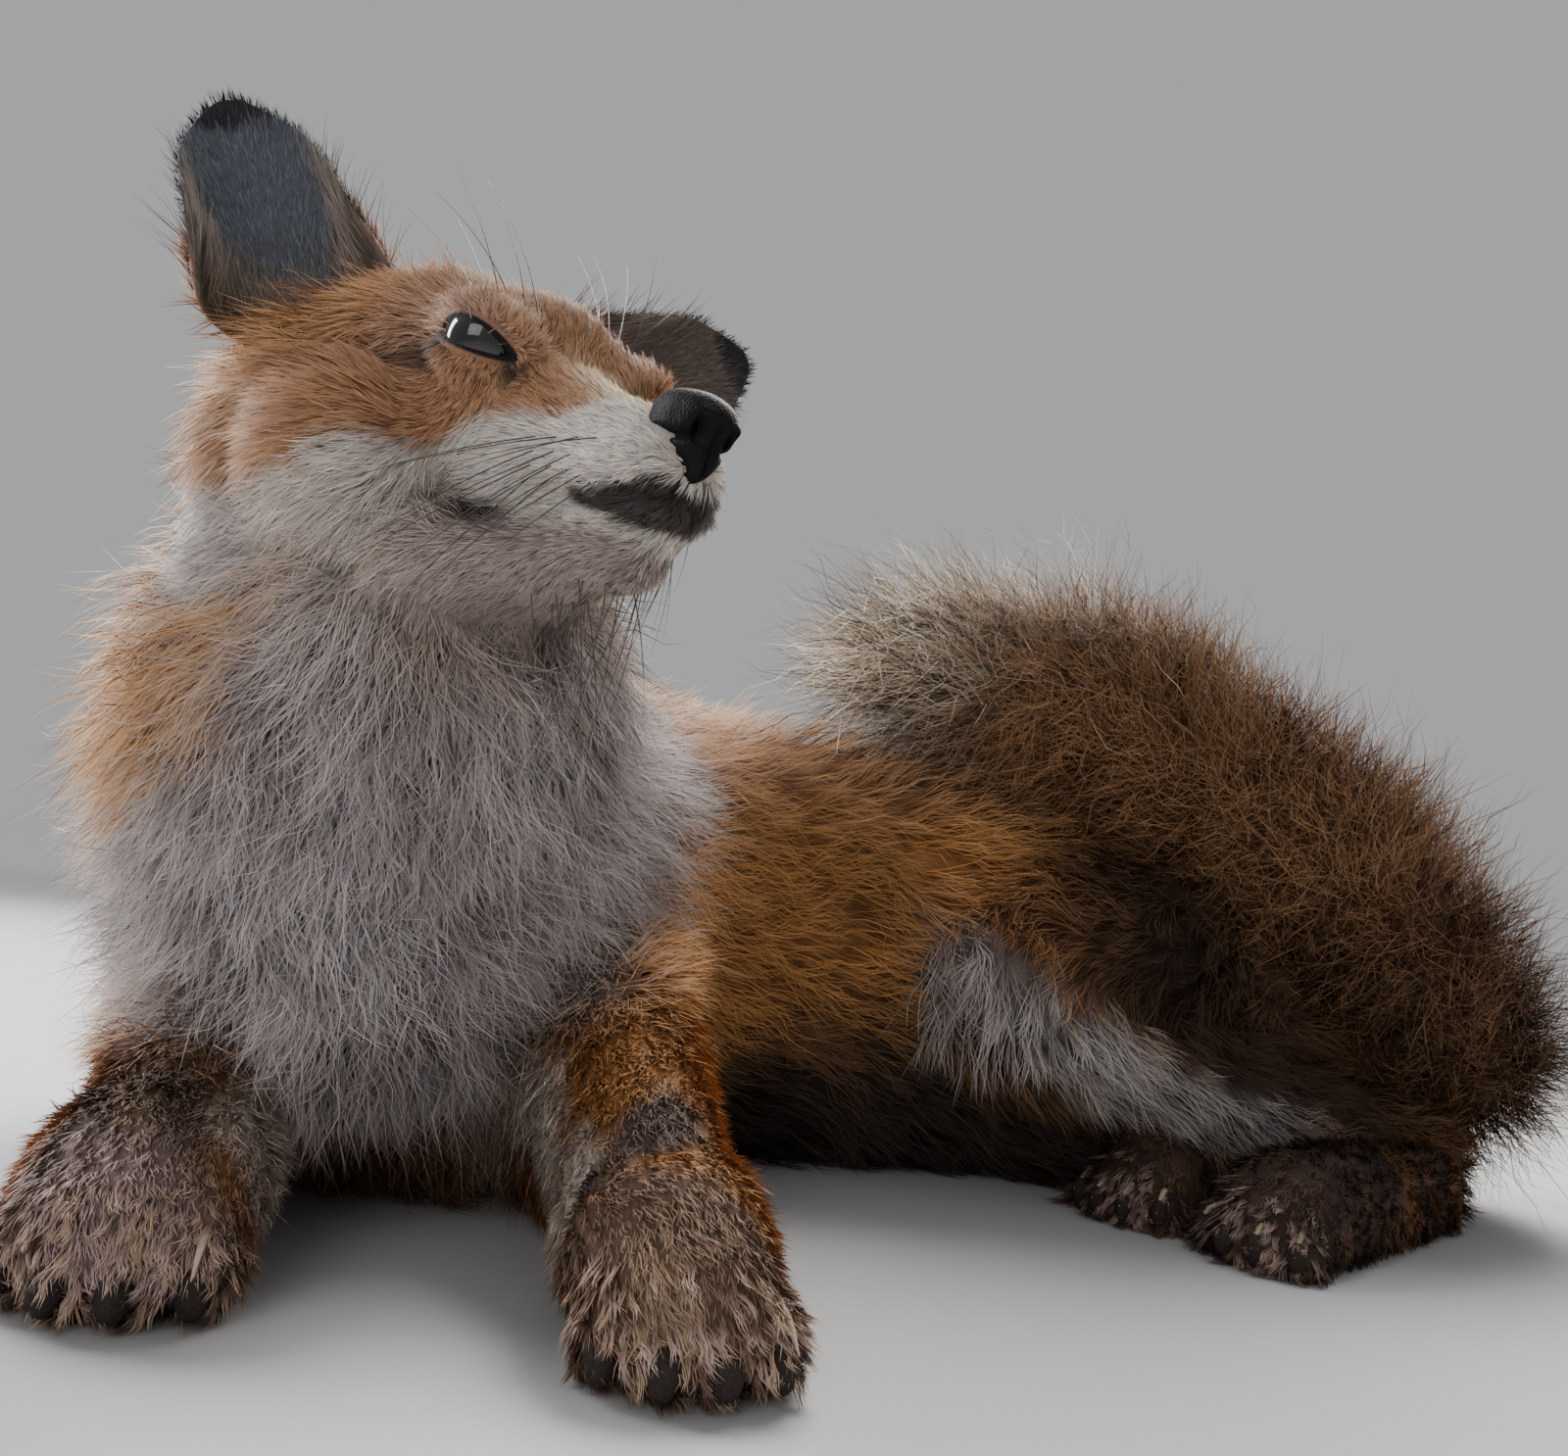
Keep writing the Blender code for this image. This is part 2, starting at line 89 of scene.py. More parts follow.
# Sections of each limb, as in the solids: centre x, y, z, then half width across and half height.
TRUNK = [
    (-0.126, 0.378, 0.096, 0.066, 0.072),
    (-0.127, 0.412, 0.100, 0.095, 0.100),
    (-0.110, 0.470, 0.098, 0.094, 0.101),
    (-0.050, 0.524, 0.095, 0.084, 0.097),
    (0.040, 0.553, 0.095, 0.074, 0.098),
    (0.150, 0.585, 0.090, 0.086, 0.093),
    (0.240, 0.612, 0.082, 0.080, 0.086),
    (0.300, 0.636, 0.082, 0.050, 0.060),
]
NECK = [
    (-0.128, 0.410, 0.110, 0.092, 0.090),
    (-0.123, 0.366, 0.150, 0.080, 0.078),
    (-0.114, 0.340, 0.188, 0.067, 0.066),
    (-0.112, 0.322, 0.216, 0.058, 0.054),
]
FORELEG_LEFT = [
    (-0.078, 0.455, 0.072, 0.050, 0.055),
    (-0.052, 0.410, 0.053, 0.036, 0.045),
    (-0.033, 0.362, 0.040, 0.028, 0.034),
    (-0.021, 0.322, 0.030, 0.024, 0.028),
]
FORELEG_RIGHT = [
    (-0.176, 0.455, 0.072, 0.046, 0.055),
    (-0.170, 0.410, 0.054, 0.034, 0.044),
    (-0.158, 0.362, 0.040, 0.027, 0.033),
    (-0.150, 0.330, 0.030, 0.024, 0.028),
]
FOREPAW_LEFT = [
    (-0.022, 0.330, 0.026, 0.024, 0.026),
    (-0.014, 0.306, 0.023, 0.028, 0.026),
    (-0.008, 0.289, 0.018, 0.025, 0.020),
]
FOREPAW_RIGHT = [
    (-0.151, 0.335, 0.026, 0.024, 0.026),
    (-0.145, 0.312, 0.023, 0.030, 0.026),
    (-0.140, 0.294, 0.018, 0.027, 0.020),
]
THIGH_LEFT = [
    (0.215, 0.580, 0.115, 0.060, 0.060),
    (0.160, 0.535, 0.105, 0.055, 0.056),
    (0.105, 0.508, 0.092, 0.042, 0.046),
]
SHIN_LEFT = [
    (0.105, 0.508, 0.090, 0.040, 0.044),
    (0.160, 0.516, 0.070, 0.034, 0.038),
    (0.230, 0.532, 0.047, 0.025, 0.029),
    (0.305, 0.552, 0.025, 0.021, 0.026),
]
FOOT_LEFT = [
    (0.312, 0.552, 0.021, 0.019, 0.024),
    (0.275, 0.516, 0.019, 0.019, 0.022),
    (0.228, 0.476, 0.019, 0.022, 0.022),
]
HINDPAW_LEFT = [
    (0.232, 0.480, 0.019, 0.022, 0.022),
    (0.210, 0.462, 0.018, 0.025, 0.022),
    (0.196, 0.450, 0.015, 0.022, 0.017),
]
SHIN_RIGHT = [
    (0.110, 0.560, 0.048, 0.045, 0.050),
    (0.170, 0.555, 0.034, 0.034, 0.037),
    (0.235, 0.565, 0.023, 0.024, 0.026),
]
FOOT_RIGHT = [
    (0.240, 0.565, 0.020, 0.018, 0.022),
    (0.205, 0.535, 0.018, 0.019, 0.021),
    (0.182, 0.514, 0.018, 0.021, 0.021),
]
HINDPAW_RIGHT = [
    (0.186, 0.518, 0.018, 0.021, 0.021),
    (0.172, 0.504, 0.017, 0.023, 0.021),
    (0.162, 0.494, 0.014, 0.020, 0.016),
]
TAIL = [
    (0.285, 0.632, 0.100, 0.026, 0.026),
    (0.322, 0.632, 0.084, 0.040, 0.040),
    (0.338, 0.606, 0.072, 0.054, 0.054),
    (0.328, 0.575, 0.082, 0.062, 0.062),
    (0.276, 0.554, 0.136, 0.066, 0.066),
    (0.212, 0.546, 0.178, 0.067, 0.067),
    (0.147, 0.540, 0.209, 0.064, 0.064),
    (0.090, 0.536, 0.221, 0.049, 0.049),
    (0.050, 0.535, 0.224, 0.030, 0.030),
]
# Sections and rounds of the head, in the head's own axes.
MUZZLE = [
    (-0.015, 0.0, -0.012, 0.031, 0.027),
    (0.012, 0.0, -0.0165, 0.0220, 0.0200),
    (0.036, 0.0, -0.0205, 0.0165, 0.0150),
    (0.057, 0.0, -0.0235, 0.0135, 0.0125),
]
JAW = [
    (-0.040, 0.0, -0.044, 0.036, 0.022),
    (-0.005, 0.0, -0.045, 0.026, 0.0155),
    (0.022, 0.0, -0.0435, 0.0170, 0.0120),
    (0.042, 0.0, -0.0415, 0.0115, 0.0090),
]
CHEEK = (-0.036, 0.030, -0.026, 0.036, 0.027, 0.029)
CRANIUM = (-0.047, 0.0, 0.000, 0.050, 0.040, 0.0325)
BROW = (-0.014, 0.0, 0.0075, 0.030, 0.027, 0.0155)
ORBIT = (0.000, 0.0160, -0.0005, 0.0190, 0.0125, 0.0145)
# Lips and chin, which only the skin has: centre and half sizes.
LIP_SWELLS = [
    (0.045, -0.0075, -0.0262, 0.0155, 0.0068, 0.0062),
    (0.0475, 0.0080, -0.0305, 0.0150, 0.0072, 0.0088),
    (0.040, 0.0025, -0.0425, 0.0130, 0.0105, 0.0085),
]
# Lines that only say how the hair of the crown and the cheeks lies.
CROWN_LIE = [
    (-0.085, 0.0, 0.000, 0.034, 0.030),
    (-0.047, 0.0, 0.000, 0.040, 0.0325),
    (-0.010, 0.0, 0.006, 0.028, 0.018),
]
CHEEK_LIE = [
    (-0.066, 0.036, -0.042, 0.032, 0.030),
    (-0.036, 0.030, -0.026, 0.030, 0.029),
    (-0.006, 0.022, -0.018, 0.020, 0.020),
]
SWELLS = [
    (-0.062, 0.462, 0.098, 0.042, 0.054, 0.066),
    (-0.176, 0.470, 0.098, 0.044, 0.054, 0.066),
    (0.205, 0.560, 0.104, 0.062, 0.052, 0.062),
    (0.235, 0.640, 0.080, 0.066, 0.060, 0.074),
]
TOE_SPREAD = (-1.5, -0.5, 0.5, 1.5)
# Paws: place of the toes' middle, heading in degrees from +X, half spread, toe radius.
PAWS = {
    "forepaw_left": ((-0.006, 0.289, 0.0105), -80.0, 0.0140, 0.0125),
    "forepaw_right": ((-0.139, 0.294, 0.0105), -88.0, 0.0150, 0.0125),
    "hindpaw_left": ((0.198, 0.451, 0.0098), -142.0, 0.0125, 0.0115),
    "hindpaw_right": ((0.163, 0.495, 0.0093), -138.0, 0.0120, 0.0110),
}
# How much of each toe's pad the coat leaves bare.
BARE_PADS = {
    "forepaw_left": (0.60, 1.05, 0.90, 0.55),
    "forepaw_right": (0.50, 0.70, 1.10, 0.85),
    "hindpaw_left": (0.60, 0.95, 0.70, 0.60),
    "hindpaw_right": (0.55, 0.80, 0.90, 0.50),
}


# -------------------- the body's limbs
def catmull(a, b, c, d, t):
    """A point between b and c on the smooth curve through four rows of numbers."""
    a, b, c, d = (np.asarray(row, float) for row in (a, b, c, d))
    return 0.5 * (2 * b + (c - a) * t + (2 * a - 5 * b + 4 * c - d) * t * t
                  + (3 * b - a - 3 * c + d) * t ** 3)


def smooth_rows(rows, steps):
    """More rows, on a smooth curve through the given ones."""
    ends = [rows[0], *rows, rows[-1]]
    out = [catmull(*ends[i:i + 4], k / steps) for i in range(len(rows) - 1) for k in range(steps)]
    return np.array([*out, np.asarray(rows[-1], float)])


def moved(points, matrix):
    """Points of an array through a 4x4 matrix."""
    turn = np.array(matrix.to_3x3())
    return np.asarray(points, float) @ turn.T + np.array(matrix.translation)


def in_drawing(points):
    """x, y and z of points in the drawing that the sections use."""
    return (points + np.array(ORIGIN)).T


def in_head(points):
    """Points in the head's own axes."""
    return moved(points, TO_HEAD)


def unit(vectors):
    """Vectors of an array at length 1."""
    return vectors / np.maximum(np.linalg.norm(vectors, axis=-1, keepdims=True), 1e-9)


class Limb:
    """A stretch of the body and its coat.  Each of the coat's traits may change along the limb.

    lie: 1 where hairs point to the last section, -1 where they point to the first.
    depth: how far the skin lies inside the sections, in mm.  length: of the hairs, in mm.
    lift: degrees from the skin that a hair starts at.  width: of a strand, in mm.
    curl: sideways wave, in mm.  sag: how much the lie turns down.  crowd: strands for the area."""

    TRAITS = ("depth", "length", "lift", "width", "curl", "sag", "crowd")

    def __init__(self, sections, matrix=ROW, lie=1, form=True, **traits):
        self.sections, self.matrix, self.form = sections, matrix, form
        rows = smooth_rows(sections, 6)
        self.centres = moved(rows[:, :3], matrix)
        self.reach = rows[:, 3:].mean(axis=1)
        self.tangents = unit(np.gradient(self.centres, axis=0)) * lie
        steps = np.linalg.norm(np.diff(self.centres, axis=0), axis=1)
        self.run = np.concatenate(([0.0], np.cumsum(steps)))
        share = np.linspace(0, 1, len(rows))
        self.traits = {}
        for name in self.TRAITS:
            values = np.atleast_1d(traits.get(name, 0.0)).astype(float)
            self.traits[name] = np.interp(share, np.linspace(0, 1, len(values)), values)

    def depth_at_sections(self):
        """The coat's depth at each given section, in metres."""
        places = np.linspace(0, 1, len(self.sections))
        share = np.linspace(0, 1, len(self.centres))
        return np.interp(places, share, self.traits["depth"]) * MM


def mirrored(sections):
    """Sections on the other side of the head."""
    return [(x, -y, z, wide, high) for x, y, z, wide, high in sections]


FORELEG = dict(depth=(9, 5, 3.5, 3), length=(22, 14, 11, 9), lift=(34, 30), width=(0.42, 0.36),
               curl=0.5, crowd=1.0)
PAW = dict(depth=2, length=(9, 8, 7.5), lift=34, width=0.34, curl=0.5, crowd=1.6)
CHEEK_COAT = dict(depth=(8, 6, 3), length=(24, 16, 7), lift=(30, 20), width=(0.38, 0.28), curl=0.8,
                  sag=0.2, crowd=1.6, lie=-1, form=False)
LIMBS = {
    "trunk": Limb(TRUNK, depth=(13, 12, 11, 10, 10, 9, 8), length=(30, 31, 30, 28, 28, 26, 24),
                  lift=(48, 46, 38, 36), width=(0.36, 0.46, 0.54), curl=(4.4, 3.6, 2.2, 2.0),
                  sag=(0.9, 0.35, 0.15, 0.15, 0.2), crowd=1.0),
    "neck": Limb(NECK, lie=-1, depth=(16, 15, 12, 8), length=(32, 33, 29, 20), lift=44,
                 width=(0.36, 0.36), curl=(4.4, 3.6, 1.8), sag=(0.6, 0.3, 0.1), crowd=1.1),
    "foreleg_left": Limb(FORELEG_LEFT, **FORELEG),
    "foreleg_right": Limb(FORELEG_RIGHT, **FORELEG),
    "forepaw_left": Limb(FOREPAW_LEFT, **PAW),
    "forepaw_right": Limb(FOREPAW_RIGHT, **PAW),
    "thigh_left": Limb(THIGH_LEFT, depth=10, length=(27, 30), lift=38, width=0.50, curl=2.0,
                       sag=0.2, crowd=0.8),
    "shin_left": Limb(SHIN_LEFT, depth=(8, 6, 3, 2), length=(31, 25, 14, 9), lift=(36, 28),
                      width=0.40, curl=2.0, sag=0.15, crowd=1.1),
    "foot_left": Limb(FOOT_LEFT, depth=2, length=9, lift=34, width=0.38, curl=0.5, crowd=1.6),
    "hindpaw_left": Limb(HINDPAW_LEFT, **PAW),
    "shin_right": Limb(SHIN_RIGHT, depth=(8, 5, 3), length=(20, 10), lift=28, width=0.55,
                       curl=0.5, crowd=0.8),
    "foot_right": Limb(FOOT_RIGHT, depth=2, length=9, lift=34, width=0.38, curl=0.5, crowd=1.6),
    "hindpaw_right": Limb(HINDPAW_RIGHT, **PAW),
    "tail": Limb(TAIL, depth=(6, 15, 23, 27, 28, 28, 27, 21, 13), lift=(46, 54),
                 length=(30, 38, 42, 44, 44, 42, 42, 46, 52), width=0.42, curl=(4, 5.5), sag=0.0,
                 crowd=1.0),
    "muzzle": Limb(MUZZLE, HEAD, lie=-1, depth=(3, 2, 1.7, 1.5), length=(9, 7.5, 6, 4.5),
                   lift=(20, 16), width=0.27, curl=0.3, sag=0.12, crowd=2.2),
    "jaw": Limb(JAW, HEAD, lie=-1, depth=(6, 3, 2, 2), length=(16, 10, 7, 5), lift=(24, 18),
                width=0.29, curl=0.5, sag=0.1, crowd=1.8),
    "crown": Limb(CROWN_LIE, HEAD, lie=-1, form=False, depth=4, length=(17, 12, 8),
                  lift=(28, 22), width=(0.38, 0.30), curl=0.7, crowd=1.7),
    "cheek_left": Limb(CHEEK_LIE, HEAD, **CHEEK_COAT),
    "cheek_right": Limb(mirrored(CHEEK_LIE), HEAD, **CHEEK_COAT),
}
NAMES = list(LIMBS)
HEAD_LIMBS = ("muzzle", "jaw", "crown", "cheek_left", "cheek_right")
FORELEGS = ("foreleg_left", "foreleg_right")
FOREPAWS = ("forepaw_left", "forepaw_right")
FEET = ("foot_left", "foot_right")
HINDPAWS = ("hindpaw_left", "hindpaw_right")
HINDLEGS = ("thigh_left", "shin_left", "foot_left", "hindpaw_left", "shin_right", "foot_right",
            "hindpaw_right")


class Lie:
    """What the limbs say at many points: shares of each limb, the lie and the coat's traits."""

    BLEND = 9.0   # how sharply one limb's coat gives way to the next one's

    def __init__(self, points, normals):
        count = len(points)
        near = np.full((count, len(NAMES)), 1e9)
        place = np.zeros((count, len(NAMES)), int)
        for k, name in enumerate(NAMES):
            limb = LIMBS[name]
            for start in range(0, count, 20000):
                part = slice(start, start + 20000)
                gap = points[part, None, :] - limb.centres[None]
                far = np.linalg.norm(gap, axis=2) / limb.reach[None]
                place[part, k] = far.argmin(axis=1)
                near[part, k] = far.min(axis=1)
        shares = np.exp(-self.BLEND * (near - near.min(axis=1, keepdims=True)))
        self.shares = shares / shares.sum(axis=1, keepdims=True)
        self.place = place
        for name in Limb.TRAITS:
            values = [LIMBS[n].traits[name][place[:, k]] for k, n in enumerate(NAMES)]
            setattr(self, name, (np.stack(values, axis=1) * self.shares).sum(axis=1))
        self.limb_lie = self.mixed(lambda limb, at: limb.tangents[at])
        self.lie = on_skin(self.limb_lie + np.array((0, 0, -1.0)) * self.sag[:, None], normals)

    def mixed(self, vectors):
        """A vector of each limb, mixed by its share."""
        parts = [vectors(LIMBS[n], self.place[:, k]) for k, n in enumerate(NAMES)]
        return (np.stack(parts, axis=1) * self.shares[:, :, None]).sum(axis=1)

    def share(self, *names):
        """The share that some limbs have together."""
        return self.shares[:, [NAMES.index(n) for n in names]].sum(axis=1)


def on_skin(vectors, normals):
    """Vectors laid down on the skin, at length 1."""
    flat = vectors - normals * (vectors * normals).sum(axis=1, keepdims=True)
    return unit(flat)


def mottle(points, grain, seed):
    """Soft blotches about so wide, from about -1 to 1."""
    random = np.random.default_rng(seed)
    total = np.zeros(len(points))
    waves = 8
    for _ in range(waves):
        wave = random.normal(size=3)
        wave *= math.pi / grain / np.linalg.norm(wave) * random.uniform(0.6, 1.4)
        total += np.sin(points @ wave + random.uniform(0, 2 * math.pi))
    return total / waves ** 0.5


def ramp(value, low, high):
    """0 below low, 1 above high, and smooth between; low may be the higher one."""
    t = np.clip((value - low) / (high - low), 0, 1)
    return t * t * (3 - 2 * t)


# -------------------- the markings
# Each finish is the colour at a hair's root, along it and at its tip.
FINISHES = {
    "russet": ((0.1, 0.044, 0.018), (0.36, 0.155, 0.044), (0.47, 0.24, 0.09)),
    "back": ((0.13, 0.066, 0.038), (0.38, 0.19, 0.085), (0.5, 0.3, 0.165)),
    "bib": ((0.09, 0.07, 0.067), (0.325, 0.283, 0.277), (0.52, 0.468, 0.457)),
    # dark undercoat in patches, and painted shade towards the chest's middle
    "bib_shade": ((0.06, 0.044, 0.042), (0.2, 0.16, 0.156), (0.37, 0.315, 0.305)),
    "nape": ((0.165, 0.084, 0.042), (0.52, 0.27, 0.115), (0.65, 0.388, 0.195)),
    # dark belly hair, with painted shade along the body's underside
    "belly": ((0.016, 0.012, 0.01), (0.042, 0.031, 0.025), (0.072, 0.053, 0.042)),
    "thigh": ((0.028, 0.014, 0.009), (0.11, 0.05, 0.024), (0.32, 0.16, 0.072)),
    "amber": ((0.14, 0.06, 0.022), (0.46, 0.2, 0.06), (0.6, 0.32, 0.125)),
    "inner_leg": ((0.06, 0.047, 0.043), (0.26, 0.228, 0.214), (0.52, 0.48, 0.458)),
    "shadow": ((0.01, 0.007, 0.005), (0.026, 0.015, 0.01), (0.05, 0.028, 0.017)),
    "leg": ((0.12, 0.055, 0.022), (0.38, 0.162, 0.044), (0.47, 0.23, 0.08)),
    "leg_dark": ((0.02, 0.013, 0.012), (0.05, 0.031, 0.027), (0.11, 0.07, 0.056)),
    "wrist": ((0.04, 0.028, 0.025), (0.11, 0.078, 0.071), (0.205, 0.155, 0.143)),
    "leg_pale": ((0.34, 0.29, 0.245), (0.68, 0.61, 0.545), (0.8, 0.74, 0.68)),
    "paw": ((0.11, 0.072, 0.064), (0.345, 0.235, 0.208), (0.52, 0.378, 0.335)),
    "brush": ((0.055, 0.027, 0.014), (0.165, 0.075, 0.033), (0.345, 0.196, 0.101)),
    # painted shade on the lower part of the brush
    "brush_dark": ((0.026, 0.014, 0.009), (0.085, 0.04, 0.02), (0.19, 0.098, 0.05)),
    # pale brush hair; along the brush's top it is laid as painted rim light
    "brush_tip": ((0.255, 0.2, 0.142), (0.58, 0.475, 0.358), (0.76, 0.66, 0.535)),
    "face": ((0.14, 0.064, 0.033), (0.375, 0.184, 0.096), (0.465, 0.262, 0.146)),
    "forehead": ((0.1, 0.05, 0.03), (0.265, 0.14, 0.078), (0.35, 0.205, 0.126)),
    "face_pale": ((0.28, 0.238, 0.205), (0.52, 0.468, 0.42), (0.64, 0.592, 0.545)),
    "bridge": ((0.19, 0.115, 0.062), (0.45, 0.296, 0.175), (0.56, 0.4, 0.262)),
    # greyish chin hair, painted darker as shade under the jaw
    "chin": ((0.14, 0.1, 0.09), (0.29, 0.222, 0.2), (0.385, 0.308, 0.28)),
    "dark_skin": ((0.006, 0.005, 0.005), (0.009, 0.008, 0.008), (0.02, 0.017, 0.016)),
    # the right ear's grey lining, painted darker and bluer as shade
    "ear_inside_and_shade": ((0.052, 0.056, 0.067), (0.106, 0.115, 0.136), (0.195, 0.209, 0.237)),
    # the left ear's lining, painted browner as light shining through it
    "ear_inside_and_glow": ((0.055, 0.042, 0.036), (0.13, 0.1, 0.085), (0.23, 0.185, 0.155)),
    "ear_edge": ((0.085, 0.066, 0.055), (0.2, 0.158, 0.13), (0.36, 0.295, 0.245)),
    "ear_back": ((0.014, 0.014, 0.016), (0.028, 0.028, 0.032), (0.05, 0.05, 0.057)),
    "paw_warm": ((0.045, 0.024, 0.014), (0.15, 0.084, 0.046), (0.265, 0.162, 0.096)),
    "toe_tuft": ((0.14, 0.088, 0.055), (0.38, 0.248, 0.155), (0.5, 0.355, 0.235)),
    "guard": ((0.02, 0.014, 0.011), (0.022, 0.015, 0.012), (0.03, 0.02, 0.016)),
}
# The upper edge of the pale muzzle and cheek in the head's axes: x, then height.
PALE_EDGE = (
    (-0.060, -0.040), (-0.030, -0.034), (-0.020, -0.029), (-0.008, -0.023), (0.0, -0.018), (0.009, -0.014),
    (0.016, -0.014), (0.031, -0.015), (0.039, -0.013), (0.046, -0.010), (0.056, -0.007),
)
# Dark spots of the face: centre and half sizes in the head's axes, finish and strength.
DARK_SPOTS = (
    ((-0.0075, 0.0315, -0.0002), (0.0190, 0.0130, 0.0044), "leg_dark", 1.00),   # streak behind the eye
    ((0.0175, 0.0180, -0.0042), (0.0060, 0.0055, 0.0032), "leg_dark", 0.95),    # tear groove before it
    ((0.0110, 0.0165, -0.0368), (0.0165, 0.0110, 0.0058), "leg_dark", 0.75),    # corner of the mouth
    ((0.0085, 0.0165, -0.0372), (0.0105, 0.0100, 0.0038), "dark_skin", 0.95),   # the dark in that corner
)


class Markings:
    """Colours of the coat at many points: arrays for root, middle and tip."""

    def __init__(self, count, finish):
        self.parts = [np.tile(np.array(c), (count, 1)) for c in FINISHES[finish]]

    def lay(self, finish, mask):
        """Lays a finish over the others where its mask is 1."""
        for k, colour in enumerate(FINISHES[finish]):
            self.parts[k] += (np.array(colour) - self.parts[k]) * mask[:, None]


def mark_trunk(points, here, lay, drift):
    """Trunk: tan along the back, dark patches towards the rump, and near-black along the bottom: partly the
    belly's dark hair, partly painted shade under the body and between the forelegs.
    """
    x, y, z = in_drawing(points)
    body = here.share("trunk")
    lay("back", body * ramp(z + drift, 0.125, 0.175))
    patches = ramp(mottle(points, 0.022, 5), 0.35, 1.5)
    lay("thigh", body * 0.45 * patches * ramp(x, -0.04, 0.0))
    brink = np.interp(x, (-0.06, 0.03, 0.08), (0.058, 0.062, 0.074))
    low = ramp(z + drift, brink + 0.024, brink - 0.026)
    # painted shade with the belly's dark hair along the bottom of the trunk, weaker on the far side
    lay("belly", here.share("trunk", "shin_right", "thigh_left") * low
        * ramp(x, -0.06, -0.02) * (1 - 0.7 * ramp(y, 0.55, 0.60)))
    # painted shade under the chest, between the forelegs near the floor
    lay("belly", here.share("trunk", *FORELEGS) * ramp(z, 0.040, 0.026) * ramp(y, 0.35, 0.37))


def mark_neck(points, here, lay, drift):
    """Neck and chest: a tan nape and a whitish bib, its middle darkened by dark undercoat and painted shade.
    """
    x, y, z = in_drawing(points)
    neck = here.share("neck", "trunk", *FORELEGS, *HEAD_LIMBS)
    lay("nape", here.share("neck") * ramp(z, 0.10, 0.14))
    right_edge = -0.044 + drift * 1.2
    left_edge = np.interp(z, (0.05, 0.10, 0.136, 0.171, 0.202, 0.26),
                          (-0.212, -0.202, -0.160, -0.126, -0.108, -0.098)) + drift
    back_edge = np.interp(z, (0.06, 0.14, 0.18, 0.22), (0.470, 0.462, 0.415, 0.345)) + drift
    bib = ramp(x, right_edge + 0.008, right_edge - 0.008) * ramp(x, left_edge - 0.008, left_edge + 0.008)
    bib = bib * ramp(y, back_edge + 0.012, back_edge - 0.012) * ramp(z, 0.030, 0.052)
    bib = bib * neck * (1 - here.share(*FORELEGS) * ramp(z, 0.075, 0.060))
    lay("bib", bib)
    # mottled dark undercoat, plus painted shade that grows towards the chest's middle
    depths = ramp(mottle(points, 0.017, 10) + 0.7 * ramp(x, -0.150, -0.090), 0.3, 1.7)
    lay("bib_shade", bib * depths * 0.85)


def mark_hind_legs(points, here, lay, drift):
    """Hind legs: a pale band along the inner side, painted shadow in the fold behind it, and dark feet."""
    x, y, z = in_drawing(points)
    thigh = here.share("thigh_left", "shin_left")
    lay("thigh", thigh * 0.92)
    top = 0.113 - 0.42 * (x - 0.068)
    band = ramp(np.abs(z + drift - top + 0.016), 0.026, 0.012) * ramp(x, 0.050, 0.075) * ramp(x, 0.262, 0.215)
    front = ramp(y, 0.535 + 0.1 * (x - 0.07), 0.515 + 0.1 * (x - 0.07))
    lay("inner_leg", here.share("trunk", "thigh_left", "shin_left") * band * front)
    # painted shade on the leg's underside below the pale band
    lay("belly", here.share("shin_left", "trunk") * ramp(top - z, 0.046, 0.060) * ramp(x, 0.06, 0.09))
    # painted shadow in the fold between the pale band and the brush
    fold_shadow_low = np.interp(x, (0.12, 0.20), (0.004, -0.010))
    fold_shadow_high = np.interp(x, (0.12, 0.20), (0.022, 0.004))
    lay("shadow", here.share("thigh_left", "shin_left", "trunk") * ramp(x + drift, 0.118, 0.168)
        * ramp(z + drift - top, fold_shadow_low, fold_shadow_high) * ramp(y, 0.600, 0.545) * 0.95)
    lay("amber", ball_mask(points, (0.076, 0.502, 0.135), (0.026, 0.034, 0.030)))
    lay("paw_warm", here.share(*FEET, *HINDPAWS))
    feet = here.share(*FEET)
    lay("leg_dark", feet * 0.85)
    lay("leg", feet * ramp(x, 0.245, 0.275) * ramp(mottle(points, 0.018, 6), -0.6, 0.8) * 0.5)
    lay("leg_dark", here.share(*HINDPAWS) * ramp(mottle(points, 0.012, 7), -1.6, 0.2) * 0.85)


